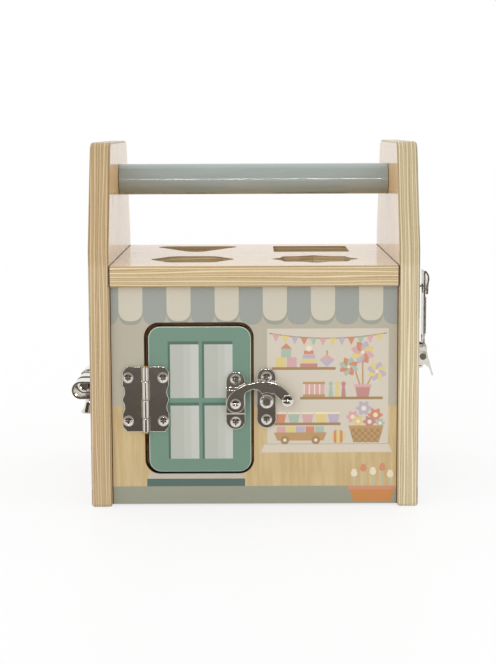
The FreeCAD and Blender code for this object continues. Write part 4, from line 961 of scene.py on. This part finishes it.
class Studio(bpy.types.Operator):
    """White floor, soft lamps and the camera"""
    bl_idname = "activity_cube.studio"
    bl_label = "Studio"
    bl_options = {"REGISTER", "UNDO"}

    FLOOR_REACH = 30000.0       # in millimetres, like the card and the canopy
    # Dark card that the polished metal mirrors: how far in front, how high and
    # from where to where each of its lines runs
    CARD = ((150.0, 1.5, -175.0, 98.0), (430.0, 1.5, -175.0, 98.0), (610.0, 1.5, -240.0, 98.0),
            (650.0, 1.5, -260.0, 260.0), (1200.0, 1.5, -260.0, 260.0),
            (1300.0, 190.0, -300.0, 300.0))
    CARD_COLOUR = (0.066, 0.048, 0.030, 1.0)
    CANOPY_RADIUS = 1300.0
    CANOPY_RISES = (8, 30, 55, 80, 100, 125)                # in degrees
    CANOPY_TURNS = range(-90, 91, 15)
    KEY_DIRECTION = (0.3, 0.9, -0.35)
    KEY_SPREAD = 70                                         # in degrees
    STRIP_SIZE = (0.366, 0.02)                              # in metres
    STRIP_PLACE = (0.0, -1.2, 0.19)
    CAMERA_PLACE = (-1.36026, -976.0908, 220.4277)          # in millimetres
    CAMERA_TURN = (0.130731681, -0.00247109, -0.00401246)   # pitch, yaw and roll in radians

    def execute(self, context):
        studio = context.scene.activity_cube.studio
        self.sky(context.scene, studio)
        self.floor(context)
        self.dark_cards(context)
        self.lamps(context, studio)
        self.camera(context, studio)
        context.scene.view_settings.view_transform = "Standard"
        return {"FINISHED"}

    @staticmethod
    def sheet(context, name, points, faces, finish):
        """Part of the studio, from points in millimetres."""
        mesh = bpy.data.meshes.new(name)
        mesh.from_pydata([tuple(part / MM for part in point) for point in points], [], faces)
        mesh.materials.append(finish.owner)
        piece = bpy.data.objects.new(name, mesh)
        context.collection.objects.link(piece)
        return piece

    @staticmethod
    def sky(scene, studio):
        """White surroundings, a little dimmer as light than they look."""
        scene.world = scene.world or bpy.data.worlds.new("studio")
        finish = Finish(scene.world)
        seen = finish.path("Camera", "Glossy", "Transmission")
        strength = studio.sky + seen * (1.0 - studio.sky)
        glow = finish.node("Background", None,
                           {"Color": (1.0, 1.0, 1.0, 1.0), "Strength": strength})
        finish.end(glow, "OutputWorld")

    def floor(self, context):
        """White floor that keeps a soft shadow."""
        finish = new_finish("studio_floor")
        table = finish.principled(Base_Color=(0.97, 0.97, 0.97, 1.0), Roughness=0.35,
                                  Specular_IOR_Level=0.1)
        white = finish.node("Emission", None, {"Color": (1.0, 1.0, 1.0, 1.0), "Strength": 1.0})
        seen = finish.path("Camera", "Glossy", "Transmission")
        finish.end(finish.node("MixShader", None, {0: seen * 0.75, 1: table, 2: white}))
        far = self.FLOOR_REACH
        corners = ((-far, -far, 0), (far, -far, 0), (far, far, 0), (-far, far, 0))
        self.sheet(context, "floor", corners, [(0, 1, 2, 3)], finish)

    def dark_cards(self, context):
        """Dark card in front and a canopy over it, which only mirrors see."""
        finish = new_finish("studio_card")
        card = finish.principled(Base_Color=self.CARD_COLOUR, Roughness=0.8)
        clear = finish.node("BsdfTransparent")
        back = finish.node("NewGeometry", output="Backfacing")
        finish.end(finish.node("MixShader", None, {0: back, 1: card, 2: clear}))
        points = [(x, -away, up) for away, up, left, right in self.CARD for x in (right, left)]
        faces = [(i, i + 1, i + 3, i + 2) for i in range(0, len(points) - 2, 2)]
        self.only_mirrored(self.sheet(context, "card", points, faces, finish))
        self.only_mirrored(self.canopy(context, finish))

    def canopy(self, context, finish):
        """Dark canopy over the front half of the room and over the middle."""
        points = []
        for rise in map(math.radians, self.CANOPY_RISES):
            away, up = self.CANOPY_RADIUS * math.cos(rise), self.CANOPY_RADIUS * math.sin(rise)
            points += [(away * math.sin(turn), -away * math.cos(turn), up)
                       for turn in map(math.radians, self.CANOPY_TURNS)]
        row = len(self.CANOPY_TURNS)
        corners = [i for i in range(len(points) - row) if (i + 1) % row]
        faces = [(i, i + row, i + row + 1, i + 1) for i in corners]
        return self.sheet(context, "canopy", points, faces, finish)

    @staticmethod
    def only_mirrored(piece):
        """Leave a piece to mirrors alone."""
        for kind in ("camera", "diffuse", "shadow", "transmission", "volume_scatter"):
            setattr(piece, "visible_" + kind, False)

    @staticmethod
    def hang(context, data):
        """Put a lamp or the camera into the scene."""
        held = bpy.data.objects.new(data.name, data)
        context.collection.objects.link(held)
        return held

    def lamps(self, context, studio):
        """Soft lamp from the front, and a strip that glints on paint and metal."""
        key = bpy.data.lights.new("key", "SUN")
        key.energy = studio.key
        key.angle = math.radians(self.KEY_SPREAD)
        lamp = self.hang(context, key)
        lamp.rotation_euler = Vector(self.KEY_DIRECTION).to_track_quat("-Z", "Y").to_euler()
        lamp.visible_glossy = False
        strip = bpy.data.lights.new("strip", "AREA")
        strip.shape = "RECTANGLE"
        strip.size, strip.size_y = self.STRIP_SIZE
        strip.energy = studio.strip
        lamp = self.hang(context, strip)
        lamp.location = self.STRIP_PLACE
        lamp.rotation_euler = (math.radians(90), 0.0, 0.0)
        lamp.visible_diffuse = False

    def camera(self, context, studio):
        """Camera at the photograph's place, with its turn worked out from three angles."""
        lens = bpy.data.cameras.new("camera")
        lens.lens = studio.lens
        lens.sensor_width = 36.0
        camera = self.hang(context, lens)
        pitch, yaw, roll = self.CAMERA_TURN
        ahead = Vector((math.sin(yaw) * math.cos(pitch), math.cos(yaw) * math.cos(pitch),
                        -math.sin(pitch)))
        right = Vector((math.cos(yaw), -math.sin(yaw), 0.0))
        up = right.cross(ahead)
        level = math.cos(roll) * right + math.sin(roll) * up
        upright = math.cos(roll) * up - math.sin(roll) * right
        turn = Matrix((level, upright, -ahead)).transposed()
        camera.matrix_world = Matrix.LocRotScale(Vector(self.CAMERA_PLACE) / MM, turn, None)
        context.scene.camera = camera


OPERATORS = (SideBoards, SideDoors, TopBoard, FrontBoard, PlainBoards, FrontDoor, CarryHandle,
             Fittings, Studio)
SETTINGS = (WoodSettings, ShopPrintSettings, DoorSettings, MetalSettings, StudioSettings,
            CubeSettings)


class CubePanel(bpy.types.Panel):
    """Finishes of the activity cube"""
    bl_idname = "VIEW3D_PT_activity_cube"
    bl_label = "Activity cube"
    bl_space_type = "VIEW_3D"
    bl_region_type = "UI"
    bl_category = "Activity cube"

    def draw(self, context):
        """List the operators, then the settings by group."""
        for operator in OPERATORS:
            self.layout.operator(operator.bl_idname)
        settings = context.scene.activity_cube
        for name in ("wood", "shop", "door", "metal", "studio"):
            group = getattr(settings, name)
            box = self.layout.box()
            box.label(text=name.capitalize())
            for item in group.bl_rna.properties:
                if item.identifier not in ("rna_type", "name"):
                    box.prop(group, item.identifier)


def register():
    """Add the settings, the operators and the panel."""
    for made in (*SETTINGS, *OPERATORS, CubePanel):
        bpy.utils.register_class(made)
    bpy.types.Scene.activity_cube = PointerProperty(type=CubeSettings)


def unregister():
    """Take them out again."""
    del bpy.types.Scene.activity_cube
    for made in reversed((*SETTINGS, *OPERATORS, CubePanel)):
        bpy.utils.unregister_class(made)


def main():
    """Finish every piece."""
    register()
    for operator in OPERATORS:
        group, name = operator.bl_idname.split(".")
        getattr(getattr(bpy.ops, group), name)()


if __name__ == "__main__":
    main()
